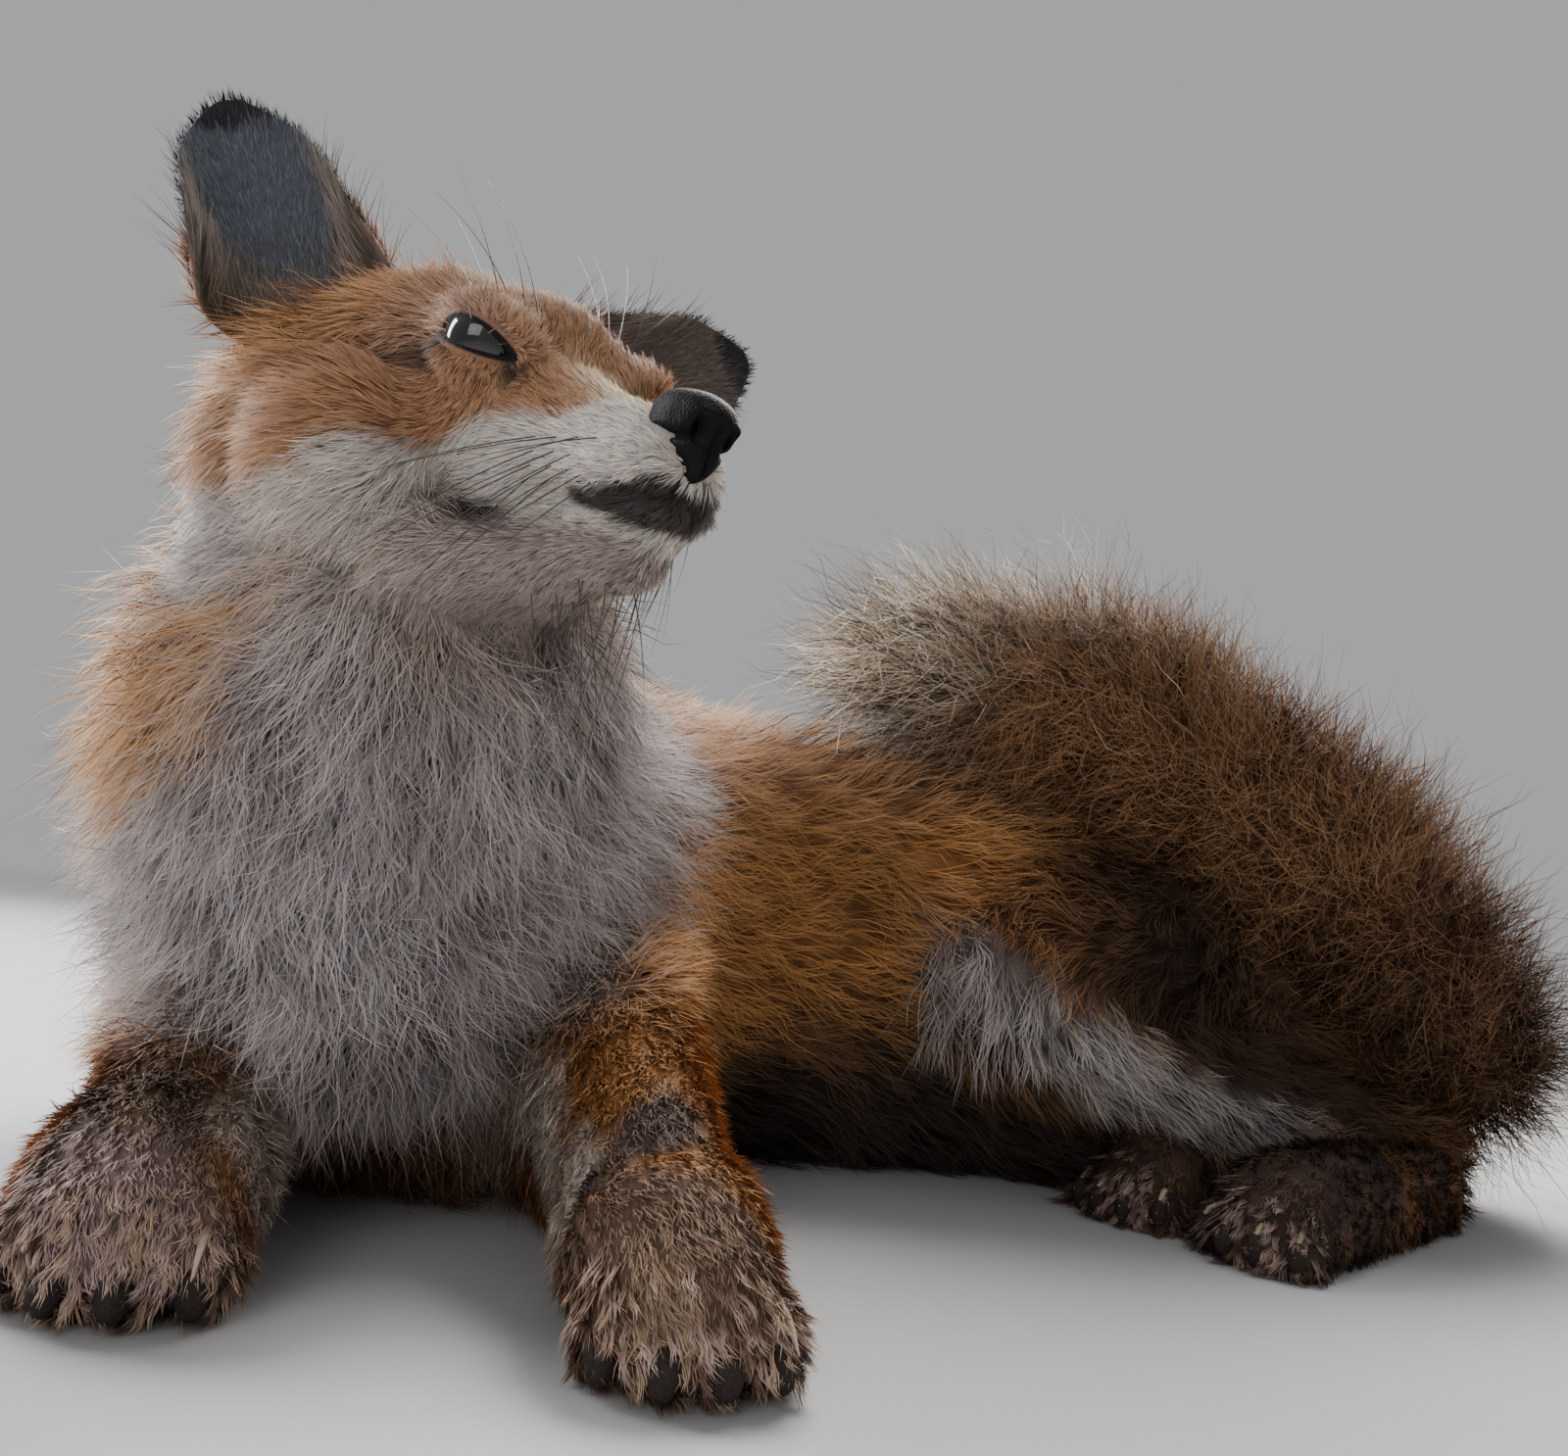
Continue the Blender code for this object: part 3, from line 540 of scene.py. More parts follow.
def mark_forelegs(points, here, lay, drift):
    """Forelegs: gold, with a dark wrist and a pale inner side."""
    x, y, z = in_drawing(points)
    fore = here.share(*FORELEGS)
    lay("leg", fore * ramp(z, 0.09, 0.07))
    left, right = (here.share("foreleg" + s, "forepaw" + s) for s in ("_left", "_right"))
    lay("leg", here.share(*FOREPAWS) * ramp(y, 0.286, 0.300))
    slope = np.interp(x, (-0.045, -0.030, -0.015, 0.0), (0.302, 0.308, 0.320, 0.334))
    lay("wrist", left * ramp(np.abs(y - slope + drift), 0.0165, 0.0075) * ramp(x, -0.046, -0.037)
        * ramp(x, -0.002, -0.014) * 0.92)
    edge = np.interp(y, (0.28, 0.32, 0.345, 0.40), (-0.033, -0.041, -0.047, -0.075)) + drift * 0.6
    lay("leg_pale", left * ramp(x, edge + 0.003, edge - 0.004) * ramp(y, 0.268, 0.284))
    spine = np.interp(y, (0.28, 0.33, 0.40), (-0.143, -0.151, -0.168))
    lay("wrist", right * ramp(np.abs(x - spine + drift), 0.026, 0.013) * ramp(z, 0.020, 0.034)
        * ramp(y, 0.330, 0.318) * 0.88)
    lay("leg_pale", right * ramp(x, spine + 0.012, spine + 0.019) * ramp(y, 0.298, 0.312) * 0.9)
    paws = here.share(*FOREPAWS)
    lay("paw", np.maximum(paws, (left + right) * ramp(y, 0.298, 0.286)) * ramp(y, 0.302, 0.288))
    lay("paw_warm", left * ramp(y, 0.302, 0.288) * 0.82)
    blond = ramp(mottle(points, 0.010, 8), 0.2, 1.2)
    lay("toe_tuft", here.share(*FOREPAWS) * blond * 0.55)


def mark_brush(points, here, lay, drift):
    """The brush: red-brown, with painted shadow and painted shade beneath, painted rim light along its top,
    and a pale tip.
    """
    x, y, z = in_drawing(points)
    tail = here.share("tail")
    lay("brush", tail)
    beneath = 0.150 + 0.20 * np.clip(0.17 - x, -0.10, 0.05)
    # painted shadow along the brush's underside, over the thigh
    lay("shadow", tail * ramp(z + drift, beneath + 0.020, beneath - 0.030) * ramp(y, 0.560, 0.530)
        * ramp(x, 0.315, 0.285) * 0.85)
    # painted shade, darker towards the bottom of the brush
    lay("brush_dark", tail * ramp(z + drift, 0.150, 0.075) * 0.7)
    # painted rim light: pale tips along the top of the brush
    lay("brush_tip", tail * ramp(z + drift * 2, 0.222, 0.268) * 0.4)
    lay("brush_tip", tail * ramp(x + drift * 1.5, 0.110, 0.060))


def mark_head(points, here, lay):
    """Head: russet above, pale below with a greyer chin partly painted as shade, pale bridge, dark round the
    eyes and mouth, and a painted shade line along the mouth.
    """
    hx, hy, hz = in_head(points).T
    side = np.abs(hy)
    head = here.share(*HEAD_LIMBS)
    wander = mottle(points, 0.010, 9) * 0.0016
    lay("face", head * ramp(hx, -0.085, -0.060))
    rise = np.interp(hx, *zip(*PALE_EDGE))
    lay("forehead", head * ramp(hz, 0.004, 0.012) * ramp(side, 0.024, 0.012) * ramp(hx, -0.050, -0.020) * 0.8)
    lay("bridge", head * ramp(hy + wander, -0.014, -0.005) * ramp(hy, 0.020, 0.014) * ramp(hx, 0.008, 0.026)
        * ramp(hz, -0.017, -0.011))
    beside = np.maximum(ramp(side + wander, 0.0035, 0.0065), ramp(hx, 0.022, 0.012))
    beside = np.maximum(beside, ramp(hz, -0.012, -0.018))
    lay("face_pale", head * ramp(hz + wander, rise + 0.002, rise - 0.0035) * beside)
    lay("bib", head * ramp(hx, -0.020, -0.050) * ramp(hz, -0.026, -0.036))
    # painted shade with the chin's own greyer hair, on the underside of the jaw
    lay("chin", here.share("jaw") * ramp(hz, -0.034, -0.042) * ramp(hx, -0.030, 0.0))
    folded = np.stack([hx, side, hz], axis=1)
    for centre, half_sizes, finish, strength in DARK_SPOTS:
        far = np.linalg.norm((folded - np.array(centre)) / np.array(half_sizes), axis=1)
        lay(finish, head * ramp(far, 1.15, 0.45) * strength)
    near = head > 0.5
    # painted shade: a faint dark line along the mouth's line
    mouth_shade_gap = np.full(len(points), 1.0)
    gaps = np.stack([hx, hy, hz], axis=1)[near][:, None, :] - mouth_path()[None, ::2]
    mouth_shade_gap[near] = np.linalg.norm(gaps, axis=2).min(axis=1)
    lay("leg_dark", head * ramp(mouth_shade_gap, 0.0042, 0.0012) * 0.55)
    middle = np.interp(hx, (0.040, 0.050, 0.060, 0.066), (-0.0322, -0.0326, -0.0324, -0.0316))
    half = np.interp(hx, (0.038, 0.048, 0.056, 0.064), (0.0006, 0.0016, 0.0030, 0.0040)) + wander * 0.25
    bare = head * ramp(np.abs(hz - middle), half + 0.0012, half) * ramp(hx, 0.036, 0.042)
    lay("dark_skin", bare * ramp(hy, 0.0115, 0.0075) * 0.92)


def mark(points, here):
    """The fox's markings at points of the skin, as three arrays of colours."""
    drift = mottle(points, 0.030, 3) * 0.006 + mottle(points, 0.009, 4) * 0.003
    coat = Markings(len(points), "russet")
    for part in (mark_trunk, mark_neck, mark_hind_legs, mark_forelegs, mark_brush):
        part(points, here, coat.lay, drift)
    mark_head(points, here, coat.lay)
    return coat.parts


def ball_mask(points, centre, sizes):
    """1 at a place in the drawing, falling to 0 about so far from it."""
    gap = (points + np.array(ORIGIN) - np.array(centre)) / np.array(sizes)
    return ramp(np.linalg.norm(gap, axis=1), 1.1, 0.45)


# -------------------- meshes
def new_piece(name, data):
    """A new object at the origin, in the scene."""
    obj = bpy.data.objects.new(name, data)
    bpy.context.scene.collection.objects.link(obj)
    return obj


def mesh_from_arrays(name, points, quads, triangles=None):
    """A smooth-shaded mesh of arrays of points, quads and triangles."""
    sizes, corners = [], []
    for faces in (quads, triangles):
        if faces is not None and len(faces):
            sizes.append(np.full(len(faces), faces.shape[1], np.int32))
            corners.append(faces.astype(np.int32).ravel())
    sizes, corners = np.concatenate(sizes), np.concatenate(corners)
    mesh = bpy.data.meshes.new(name)
    mesh.vertices.add(len(points))
    mesh.vertices.foreach_set("co", np.asarray(points, np.float32).ravel())
    mesh.loops.add(len(corners))
    mesh.loops.foreach_set("vertex_index", corners)
    mesh.polygons.add(len(sizes))
    starts = np.concatenate(([0], np.cumsum(sizes)[:-1])).astype(np.int32)
    mesh.polygons.foreach_set("loop_start", starts)
    mesh.polygons.foreach_set("loop_total", sizes)
    mesh.polygons.foreach_set("use_smooth", np.ones(len(sizes), bool))
    mesh.update(calc_edges=True)
    return mesh


def mesh_of(made, name):
    """A mesh of a bmesh, which is freed."""
    mesh = bpy.data.meshes.new(name)
    made.to_mesh(mesh)
    made.free()
    return mesh


def vertex_arrays(mesh):
    """A mesh's points and vertex normals as arrays."""
    points = np.zeros(len(mesh.vertices) * 3)
    normals = np.zeros(len(mesh.vertices) * 3)
    mesh.vertices.foreach_get("co", points)
    mesh.vertices.foreach_get("normal", normals)
    return points.reshape(-1, 3), normals.reshape(-1, 3)


def paint(mesh, colours):
    """Writes a colour for each vertex as the attribute that the coat's material reads."""
    attribute = mesh.color_attributes.new("markings", "FLOAT_COLOR", "POINT")
    rgba = np.ones((len(mesh.vertices), 4), np.float32)
    rgba[:, :3] = colours
    attribute.data.foreach_set("color", rgba.ravel())


def applied(obj):
    """Replaces an object's mesh by the one its modifiers make."""
    graph = bpy.context.evaluated_depsgraph_get()
    mesh = bpy.data.meshes.new_from_object(obj.evaluated_get(graph))
    obj.modifiers.clear()
    obj.data = mesh
    return obj


def loft(sections, steps=5, around=24, dome=4):
    """A bmesh tube through the sections, with a round dome at each end."""
    rings = smooth_rows(sections, steps)
    points = [Vector(r[:3]) for r in rings]
    count = len(rings)
    tangents = [(points[min(i + 1, count - 1)] - points[max(i - 1, 0)]).normalized() for i in range(count)]
    stations = [(p, t, r[3], r[4]) for p, t, r in zip(points, tangents, rings)]
    for end, sign in ((0, -1), (-1, 1)):
        point, tangent, wide, high = stations[end]
        for k in range(1, dome):
            angle = math.pi / 2 * k / dome
            out = point + tangent * (sign * min(wide, high) * math.sin(angle))
            extra = (out, tangent, wide * math.cos(angle), high * math.cos(angle))
            stations.insert(0 if end == 0 else len(stations), extra)
    mesh = bmesh.new()
    loops = []
    for point, tangent, wide, high in stations:
        side = tangent.cross(Vector((0, 0, 1)))
        side = side.normalized() if side.length > 0.05 else Vector((0, 1, 0))
        upward = side.cross(tangent).normalized()
        turn = [2 * math.pi * k / around for k in range(around)]
        loops.append([
            mesh.verts.new(point + side * (wide * math.cos(a)) + upward * (high * math.sin(a)))
            for a in turn
        ])
    for low, high in zip(loops, loops[1:]):
        for k in range(around):
            n = (k + 1) % around
            mesh.faces.new((low[k], low[n], high[n], high[k]))
    mesh.faces.new(loops[0])
    mesh.faces.new(loops[-1])
    bmesh.ops.recalc_face_normals(mesh, faces=mesh.faces)
    return mesh


def ball(centre, half_sizes, across=24, tall=14):
    """A bmesh ellipsoid."""
    mesh = bmesh.new()
    bmesh.ops.create_uvsphere(mesh, u_segments=across, v_segments=tall, radius=1.0)
    mesh.transform(Matrix.Translation(centre) @ Matrix.Diagonal((*half_sizes, 1.0)))
    return mesh


def joined_mesh(parts, name):
    """One mesh of several bmeshes, each (bmesh, matrix)."""
    whole = bmesh.new()
    for part, matrix in parts:
        part.transform(matrix)
        piece = mesh_of(part, "part")
        whole.from_mesh(piece)
        bpy.data.meshes.remove(piece)
    return mesh_of(whole, name)


# -------------------- the skin
def thinned(sizes, depth):
    """Half sizes without the coat's depth, never under 35% of what they were."""
    return [max(size - depth, size * 0.35) for size in sizes]


def toe_matrices(paw):
    """The frame of each toe of a paw: x along the toe."""
    place, heading, spread, _ = PAWS[paw]
    angle = math.radians(heading)
    forward = Vector((math.cos(angle), math.sin(angle), 0.0))
    side = Vector((-math.sin(angle), math.cos(angle), 0.0))
    out = []
    for step in TOE_SPREAD:
        reach = 0.006 if abs(step) < 1 else 0.0
        centre = Vector(place) + side * (step * spread * 0.82) + forward * reach
        splay = angle + math.radians(9.0) * step
        out.append(ROW @ Matrix.Translation(centre) @ Matrix.Rotation(splay, 4, "Z"))
    return out


def toes():
    """Every toe: its paw, its number there, its frame and its radius."""
    for paw in PAWS:
        for number, matrix in enumerate(toe_matrices(paw)):
            yield paw, number, matrix, PAWS[paw][3]


def bare_body():
    """The body without its coat, as one blended form."""
    parts = []
    for limb in LIMBS.values():
        if limb.form:
            depths = limb.depth_at_sections()
            sections = [(*s[:3], *thinned(s[3:], d)) for s, d in zip(limb.sections, depths)]
            parts.append((loft(sections), limb.matrix))
    rounds = [(b, 0.010, ROW) for b in SWELLS]
    rounds += [(CRANIUM, 0.004, HEAD), (BROW, 0.0025, HEAD)]
    rounds += [(b, 0.0, HEAD) for b in LIP_SWELLS]
    for x, y, z, *half_sizes, depth in ((*CHEEK, 0.006), (*ORBIT, 0.0016)):
        rounds += [((x, s * y, z, *half_sizes), depth, HEAD) for s in (1, -1)]
    parts += [(ball(b[:3], thinned(b[3:], depth)), matrix) for b, depth, matrix in rounds]
    for _, _, matrix, radius in toes():
        half_sizes = thinned((radius * 1.35, radius * 0.72, radius), 0.0012)
        parts.append((ball((0, 0, 0.001), half_sizes), matrix))
    body = new_piece("skin", joined_mesh(parts, "skin"))
    blend = body.modifiers.new("blend", "REMESH")
    blend.mode = "VOXEL"
    blend.voxel_size = SKIN_VOXEL
    relax = body.modifiers.new("relax", "SMOOTH")
    relax.factor = 0.5
    relax.iterations = 5
    applied(body)
    mesh = bmesh.new()
    mesh.from_mesh(body.data)
    # A finer grain on the face, where the folds are.
    fine = [f for f in mesh.faces if (TO_HEAD @ f.calc_center_median()).x > -0.022
            and (TO_HEAD @ f.calc_center_median() - Vector((0.02, 0, -0.02))).length < 0.075]
    edges = {e for f in fine for e in f.edges}
    bmesh.ops.subdivide_edges(mesh, edges=list(edges), cuts=1, use_grid_fill=True)
    bmesh.ops.triangulate(mesh, faces=[f for f in mesh.faces if len(f.verts) > 4])
    mesh.to_mesh(body.data)
    mesh.free()
    body.data.shade_smooth()
    return body


class Eye:
    """One eye's place and axes: out of the head, back along the opening, and up."""

    TURN_OUT = 57.0        # degrees from the head's forward axis
    SLANT = 15.0           # the outer corner's rise, in degrees
    INNER, OUTER = 64.5, 61.5   # reach of the opening's corners, in degrees at the eye's centre
    RISE, DROP = 20.5, 17.0

    def __init__(self, side):
        self.side = side
        self.centre = np.array((EYE_AT[0], side * EYE_AT[1], EYE_AT[2]))
        angle = math.radians(self.TURN_OUT)
        out = Vector((math.cos(angle), side * math.sin(angle), 0.04)).normalized()
        back = Vector((-math.sin(angle), side * math.cos(angle), 0.0))
        up = Vector((0, 0, 1))
        back = (back - out * back.dot(out)).normalized()
        up = (up - out * up.dot(out) - back * up.dot(back)).normalized()
        slant = math.radians(self.SLANT)
        self.out = np.array(out)
        self.back = np.array(back * math.cos(slant) + up * math.sin(slant))
        self.up = np.array(up * math.cos(slant) - back * math.sin(slant))

    def angles(self, points):
        """Degrees back along the opening and up from it, of points in the head's axes."""
        gap = points - self.centre
        way = unit(gap)
        along = np.degrees(np.arctan2(way @ self.back, way @ self.out))
        return along, np.degrees(np.arcsin(np.clip(way @ self.up, -1, 1))), np.linalg.norm(gap, axis=1)

    def margin(self, turn):
        """The opening's edge at an angle round it: degrees back and up."""
        along = math.cos(turn) * (self.OUTER if math.cos(turn) > 0 else self.INNER)
        lobe = abs(math.sin(turn)) ** (1.7 if math.cos(turn) > 0 else 1.3)
        return along, (self.RISE if math.sin(turn) > 0 else -self.DROP) * lobe

    def way(self, along, upward):
        """A unit vector at so many degrees back and up."""
        a, b = math.radians(along), math.radians(upward)
        flat = self.out * math.cos(a) + self.back * math.sin(a)
        return flat * math.cos(b) + self.up * math.sin(b)

    def opening(self, along, upward, grow=0.0):
        """Under 1 inside the opening, grown by so many degrees."""
        lift = np.where(upward > 0, self.RISE, self.DROP) + grow
        reach = np.clip(np.abs(along) / (np.where(along > 0, self.OUTER, self.INNER) + grow), 0, 1.4)
        lobe = np.sqrt(np.clip(1 - np.minimum(reach, 1) ** 2, 0, 1)) ** np.where(along > 0, 1.7, 1.3)
        return np.where(reach >= 1, 2.0, np.abs(upward) / np.maximum(lift * lobe, 0.5))


EYES = {"eye_left": Eye(1), "eye_right": Eye(-1)}
MOUTH_LINE = [   # the right side, in the head's axes, from the corner to the front
    (0.001, -0.0235, -0.0405), (0.007, -0.0200, -0.0375), (0.016, -0.0165, -0.0335),
    (0.026, -0.0140, -0.0315), (0.036, -0.0125, -0.0325), (0.046, -0.0115, -0.0330),
    (0.056, -0.0090, -0.0318), (0.0625, -0.0045, -0.0302), (0.0650, 0.0, -0.0297),
]


def mouth_path():
    """The mouth's line from its right corner round the front to its left corner."""
    right = smooth_rows(MOUTH_LINE, 4)
    left = right[:-1][::-1] * np.array((1, -1, 1))
    return np.concatenate([right, left])


def sculpted(body):
    """Presses the mouth's groove and the eye sockets into the skin, and returns the skin before the
    sockets, for the lids to meet."""
    points, normals = vertex_arrays(body.data)
    local = in_head(points)
    inward = -(normals @ np.array(TO_HEAD.to_3x3()).T)
    face = np.flatnonzero(np.linalg.norm(local - np.array((0.02, 0, -0.02)), axis=1) < 0.07)
    line = mouth_path()
    gap = np.linalg.norm(local[face][:, None, :] - line[None], axis=2).min(axis=1)
    local[face] += inward[face] * (GROOVE_DEPTH * np.exp(-(gap / GROOVE_WIDTH) ** 2))[:, None]
    swell = np.exp(-((gap - 0.0055) / 0.003) ** 2) * (local[face][:, 2] > -0.033)
    local[face] -= inward[face] * (LIP_RISE * swell)[:, None]
    for eye in EYES.values():
        gap = local - eye.centre
        far = np.linalg.norm(gap, axis=1)
        outside = ramp(unit(gap) @ eye.out, -0.45, 0.10)
        cover = np.sqrt(far ** 2 + (EYE_RADIUS * 0.30) ** 2)
        cover = np.maximum(cover, EYE_RADIUS + 0.0011) * outside + far * (1 - outside)
        near = far < 0.018
        local[near] = eye.centre + unit(gap[near]) * cover[near, None]
    before = BVHTree.FromPolygons([tuple(p) for p in local], [tuple(p.vertices) for p in body.data.polygons])
    for eye in EYES.values():
        along, upward, far = eye.angles(local[face])
        inside = (eye.opening(along, upward, grow=5.0) < 1.0) & (far < 0.022)
        sunk = face[inside]
        local[sunk] = eye.centre + unit(local[sunk] - eye.centre) * (EYE_RADIUS - SOCKET_DEPTH)
    points = moved(local, HEAD)
    sunk = ramp(points[:, 2], 0.036, 0.010) * ramp(points[:, 1] + ORIGIN.y, 0.36, 0.39)
    points[:, 2] = np.maximum(points[:, 2] - BELLY_SETTLE * sunk, 0.0008)
    body.data.vertices.foreach_set("co", points.astype(np.float32).ravel())
    body.data.update()
    return before


def lid_mesh(eye, head_skin):
    """The lids of one eye: a ring from inside the opening's edge out to the skin round it."""
    around = 64
    # Degrees outside the margin, height over the glass in mm, share of the skin's own height.
    rows = [(-2.5, 0.10, 0.0), (-0.8, 0.25, 0.0), (0.4, 0.50, 0.0), (2.2, 0.75, 0.0), (5.0, 0.90, 0.4),
            (8.0, 0.6, 0.85), (12.0, 0.15, 1.0), (16.0, -0.4, 1.0), (21.0, -1.4, 1.0)]
    points, shade = [], []
    for outward, height, skin_share in rows:
        for k in range(around):
            turn = 2 * math.pi * k / around
            along, upward = eye.margin(turn)
            radial = Vector((math.cos(turn), math.sin(turn) * 1.5)).normalized()
            way = eye.way(along + radial.x * outward, upward + radial.y * outward)
            inner = max(0.0, -math.cos(turn)) ** 6
            glass = EYE_RADIUS + (height + 2.2 * inner * (outward > -1)) * MM
            hit = head_skin.ray_cast(Vector(eye.centre), Vector(way), 0.022)[3]
            skin = (hit if hit is not None else 0.014) + min(height, 0.35) * MM
            points.append(eye.centre + way * (glass * (1 - skin_share) + skin * skin_share))
            shade.append(outward)
    quads = []
    for row in range(len(rows) - 1):
        for k in range(around):
            n = (k + 1) % around
            quads.append((row * around + k, row * around + n, (row + 1) * around + n, (row + 1) * around + k))
    quads = np.array(quads)
    if eye.side > 0:
        quads = quads[:, ::-1]
    return moved(np.array(points), HEAD), quads, np.array(shade)


def turned(place, opening, upward):
    """A matrix that puts a local z along upward and a local x towards opening, at a place."""
    up = Vector(upward).normalized()
    side = up.cross(Vector(opening)).normalized()
    front = side.cross(up)
    return Matrix.Translation(place) @ Matrix((front, side, up)).transposed().to_4x4()


EARS = {
    "ear_left": HEAD @ turned((-0.052, 0.037, 0.013), (0.95, -0.10, 0.20), (0.05, 0.88, 0.48)),
    "ear_right": HEAD @ turned((-0.058, -0.044, 0.016), (0.90, -0.35, 0.1), (-0.60, -0.20, 0.77)),
}


def ear_point(u, v, height=EAR_HEIGHT - 0.003):
    """A point of the ear's middle sheet in its own axes: u from root to tip, v across from -1 to 1."""
    wide = (EAR_WIDTH / 2 - 0.0015) * (1 - u ** 7) ** 0.5 * (1 - 0.22 * u + 0.14 * (1 - u) ** 2)
    cup = 1.25 * (1 - u) + 0.35
    angle = v * cup
    scale = wide / max(math.sin(cup), 0.6)
    return Vector((
        -scale * (math.cos(angle) - math.cos(cup)) - 0.004 * u * u,
        scale * math.sin(angle),
        height * u,
    ))


def in_hollow(local, normals):
    """1 on the hollow side of an ear, 0 behind it, for points and normals in the ear's axes."""
    inward = unit(np.stack([0.004 - local[:, 0], -local[:, 1]], axis=1))
    return ramp((inward * normals[:, :2]).sum(axis=1), -0.1, 0.3)


def ear_shell(name):
    """One ear's skin: a cupped sheet with two walls and a rolled rim."""
    rows, columns = 26, 22
    mesh = bmesh.new()
    grid = []
    for i in range(rows):
        u = math.sin(math.pi / 2 * i / rows)
        grid.append([mesh.verts.new(ear_point(u, 2 * k / columns - 1)) for k in range(columns + 1)])
    tip = mesh.verts.new(ear_point(0.9999, 0.0))
    for low, high in zip(grid, grid[1:]):
        for k in range(columns):
            mesh.faces.new((low[k], low[k + 1], high[k + 1], high[k]))
    for k in range(columns):
        mesh.faces.new((grid[-1][k], grid[-1][k + 1], tip))
    shell = new_piece(name, mesh_of(mesh, name))
    wall = shell.modifiers.new("wall", "SOLIDIFY")
    wall.thickness = EAR_SKIN
    wall.offset = 0.0
    round_off = shell.modifiers.new("round", "SUBSURF")
    round_off.levels = round_off.render_levels = 1
    applied(shell)
    points, normals = vertex_arrays(shell.data)
    ripple = np.sin(points[:, 2] * 260 + np.abs(points[:, 1]) * 210) * 0.0003
    points += normals * (ripple * ramp(points[:, 2], 0.06, 0.02))[:, None]
    local = points.copy()
    shell.data.vertices.foreach_set("co", moved(points, EARS[name]).astype(np.float32).ravel())
    shell.data.update()
    return shell, local, normals


def ear_markings(local, normals, name):
    """Colours of an ear from its own axes: black behind, at the tip and on the rim, greyer inside, with
    painted shade inside the right ear and a painted glow of light through the left.
    """
    coat = Markings(len(local), "ear_back")
    across, height = np.abs(local[:, 1]) / (EAR_WIDTH / 2), local[:, 2] / EAR_HEIGHT
    drift = mottle(local, 0.008, 21) * 0.03
    inside = in_hollow(local, normals)
    coat.lay("face", (1 - inside) * ramp(height, 0.40, 0.16))
    # painted light: the right ear's inside is darker and bluer as shade, the left ear's browner as light
    # shining through it
    coat.lay("ear_inside_and_shade" if name == "ear_right" else "ear_inside_and_glow", inside * ramp(height + drift, 0.88, 0.80))
    margin = ramp(across + drift, 0.50, 0.85) * ramp(height + drift, 0.80, 0.62)
    coat.lay("ear_edge", inside * margin * 0.9)
    coat.lay("ear_edge", inside * ramp(height + drift * 2, 0.30, 0.14) * 0.8)
    return coat.parts


def make_skin():
    """The one skin: body, lids and ears, with the markings under the coat."""
    body = bare_body()
    head_skin = sculpted(body)
    points, normals = vertex_arrays(body.data)
    here = Lie(points, normals)
    under, main, _ = mark(points, here)
    paint(body.data, under * 0.55 + main * 0.45)
    lids = []
    for name, eye in EYES.items():
        lid_points, quads, outward = lid_mesh(eye, head_skin)
        lid = new_piece(name + "_lids", mesh_from_arrays(name + "_lids", lid_points, quads))
        lid_normals = vertex_arrays(lid.data)[1]
        root, middle, _ = mark(lid_points, Lie(lid_points, lid_normals))
        rim = ramp(outward, 5.6, 2.4)[:, None]
        black = np.array(FINISHES["dark_skin"][1])
        paint(lid.data, (root * 0.4 + middle * 0.6) * (1 - rim) + black * rim)
        lids.append(lid)
    ears = []
    for name in EARS:
        shell, local, ear_normals = ear_shell(name)
        root, middle, _ = ear_markings(local, ear_normals, name)
        paint(shell.data, root * 0.5 + middle * 0.5)
        ears.append(shell)
    points = vertex_arrays(body.data)[0]
    surface = BVHTree.FromPolygons(points.tolist(), [tuple(p.vertices) for p in body.data.polygons])
    surfaces = {"body": (body.data.copy(), here, surface)}
    surfaces.update({name: (shell.data.copy(),) for name, shell in zip(EARS, ears)})
    bpy.ops.object.select_all(action="DESELECT")
    for obj in (body, *lids, *ears):
        obj.select_set(True)
    bpy.context.view_layer.objects.active = body
    bpy.ops.object.join()
    body.data.shade_smooth()
    return body, surfaces, head_skin


# -------------------- the coat
def sample(mesh, count, weight, random):
    """Roots spread over a mesh's triangles, as many for the area as weight says."""
    mesh.calc_loop_triangles()
    corners = np.zeros(len(mesh.loop_triangles) * 3, np.int32)
    mesh.loop_triangles.foreach_get("vertices", corners)
    corners = corners.reshape(-1, 3)
    points, normals = vertex_arrays(mesh)
    a, b, c = (points[corners[:, k]] for k in range(3))
    area = np.linalg.norm(np.cross(b - a, c - a), axis=1) / 2
    chance = area * weight[corners].mean(axis=1)
    total = chance.sum()
    chosen = np.searchsorted(np.cumsum(chance), random.uniform(0, total, count))
    chosen = np.minimum(chosen, len(corners) - 1)
    r, s = np.sqrt(random.uniform(size=count)), random.uniform(size=count)
    shares = np.stack([1 - r, r * (1 - s), r * s], axis=1)[:, :, None]
    roots = (points[corners[chosen]] * shares).sum(axis=1)
    outward = unit((normals[corners[chosen]] * shares).sum(axis=1))
    spacing = np.sqrt(total / count / np.maximum(weight[corners[chosen]].mean(axis=1), 1e-3))
    return roots, outward, np.minimum(spacing, 1.6 * np.median(spacing))


def turned_about(vectors, axes, angles):
    """Vectors turned about unit axes by angles."""
    cos, sin = np.cos(angles)[:, None], np.sin(angles)[:, None]
    along = axes * (vectors * axes).sum(axis=1, keepdims=True)
    return vectors * cos + np.cross(axes, vectors) * sin + along * (1 - cos)


# Guides of a coat: where tufts start, how they lie, and the traits of their strands.
Tufts = namedtuple("Tufts", "roots normals lie spacing length lift width curl colours place")

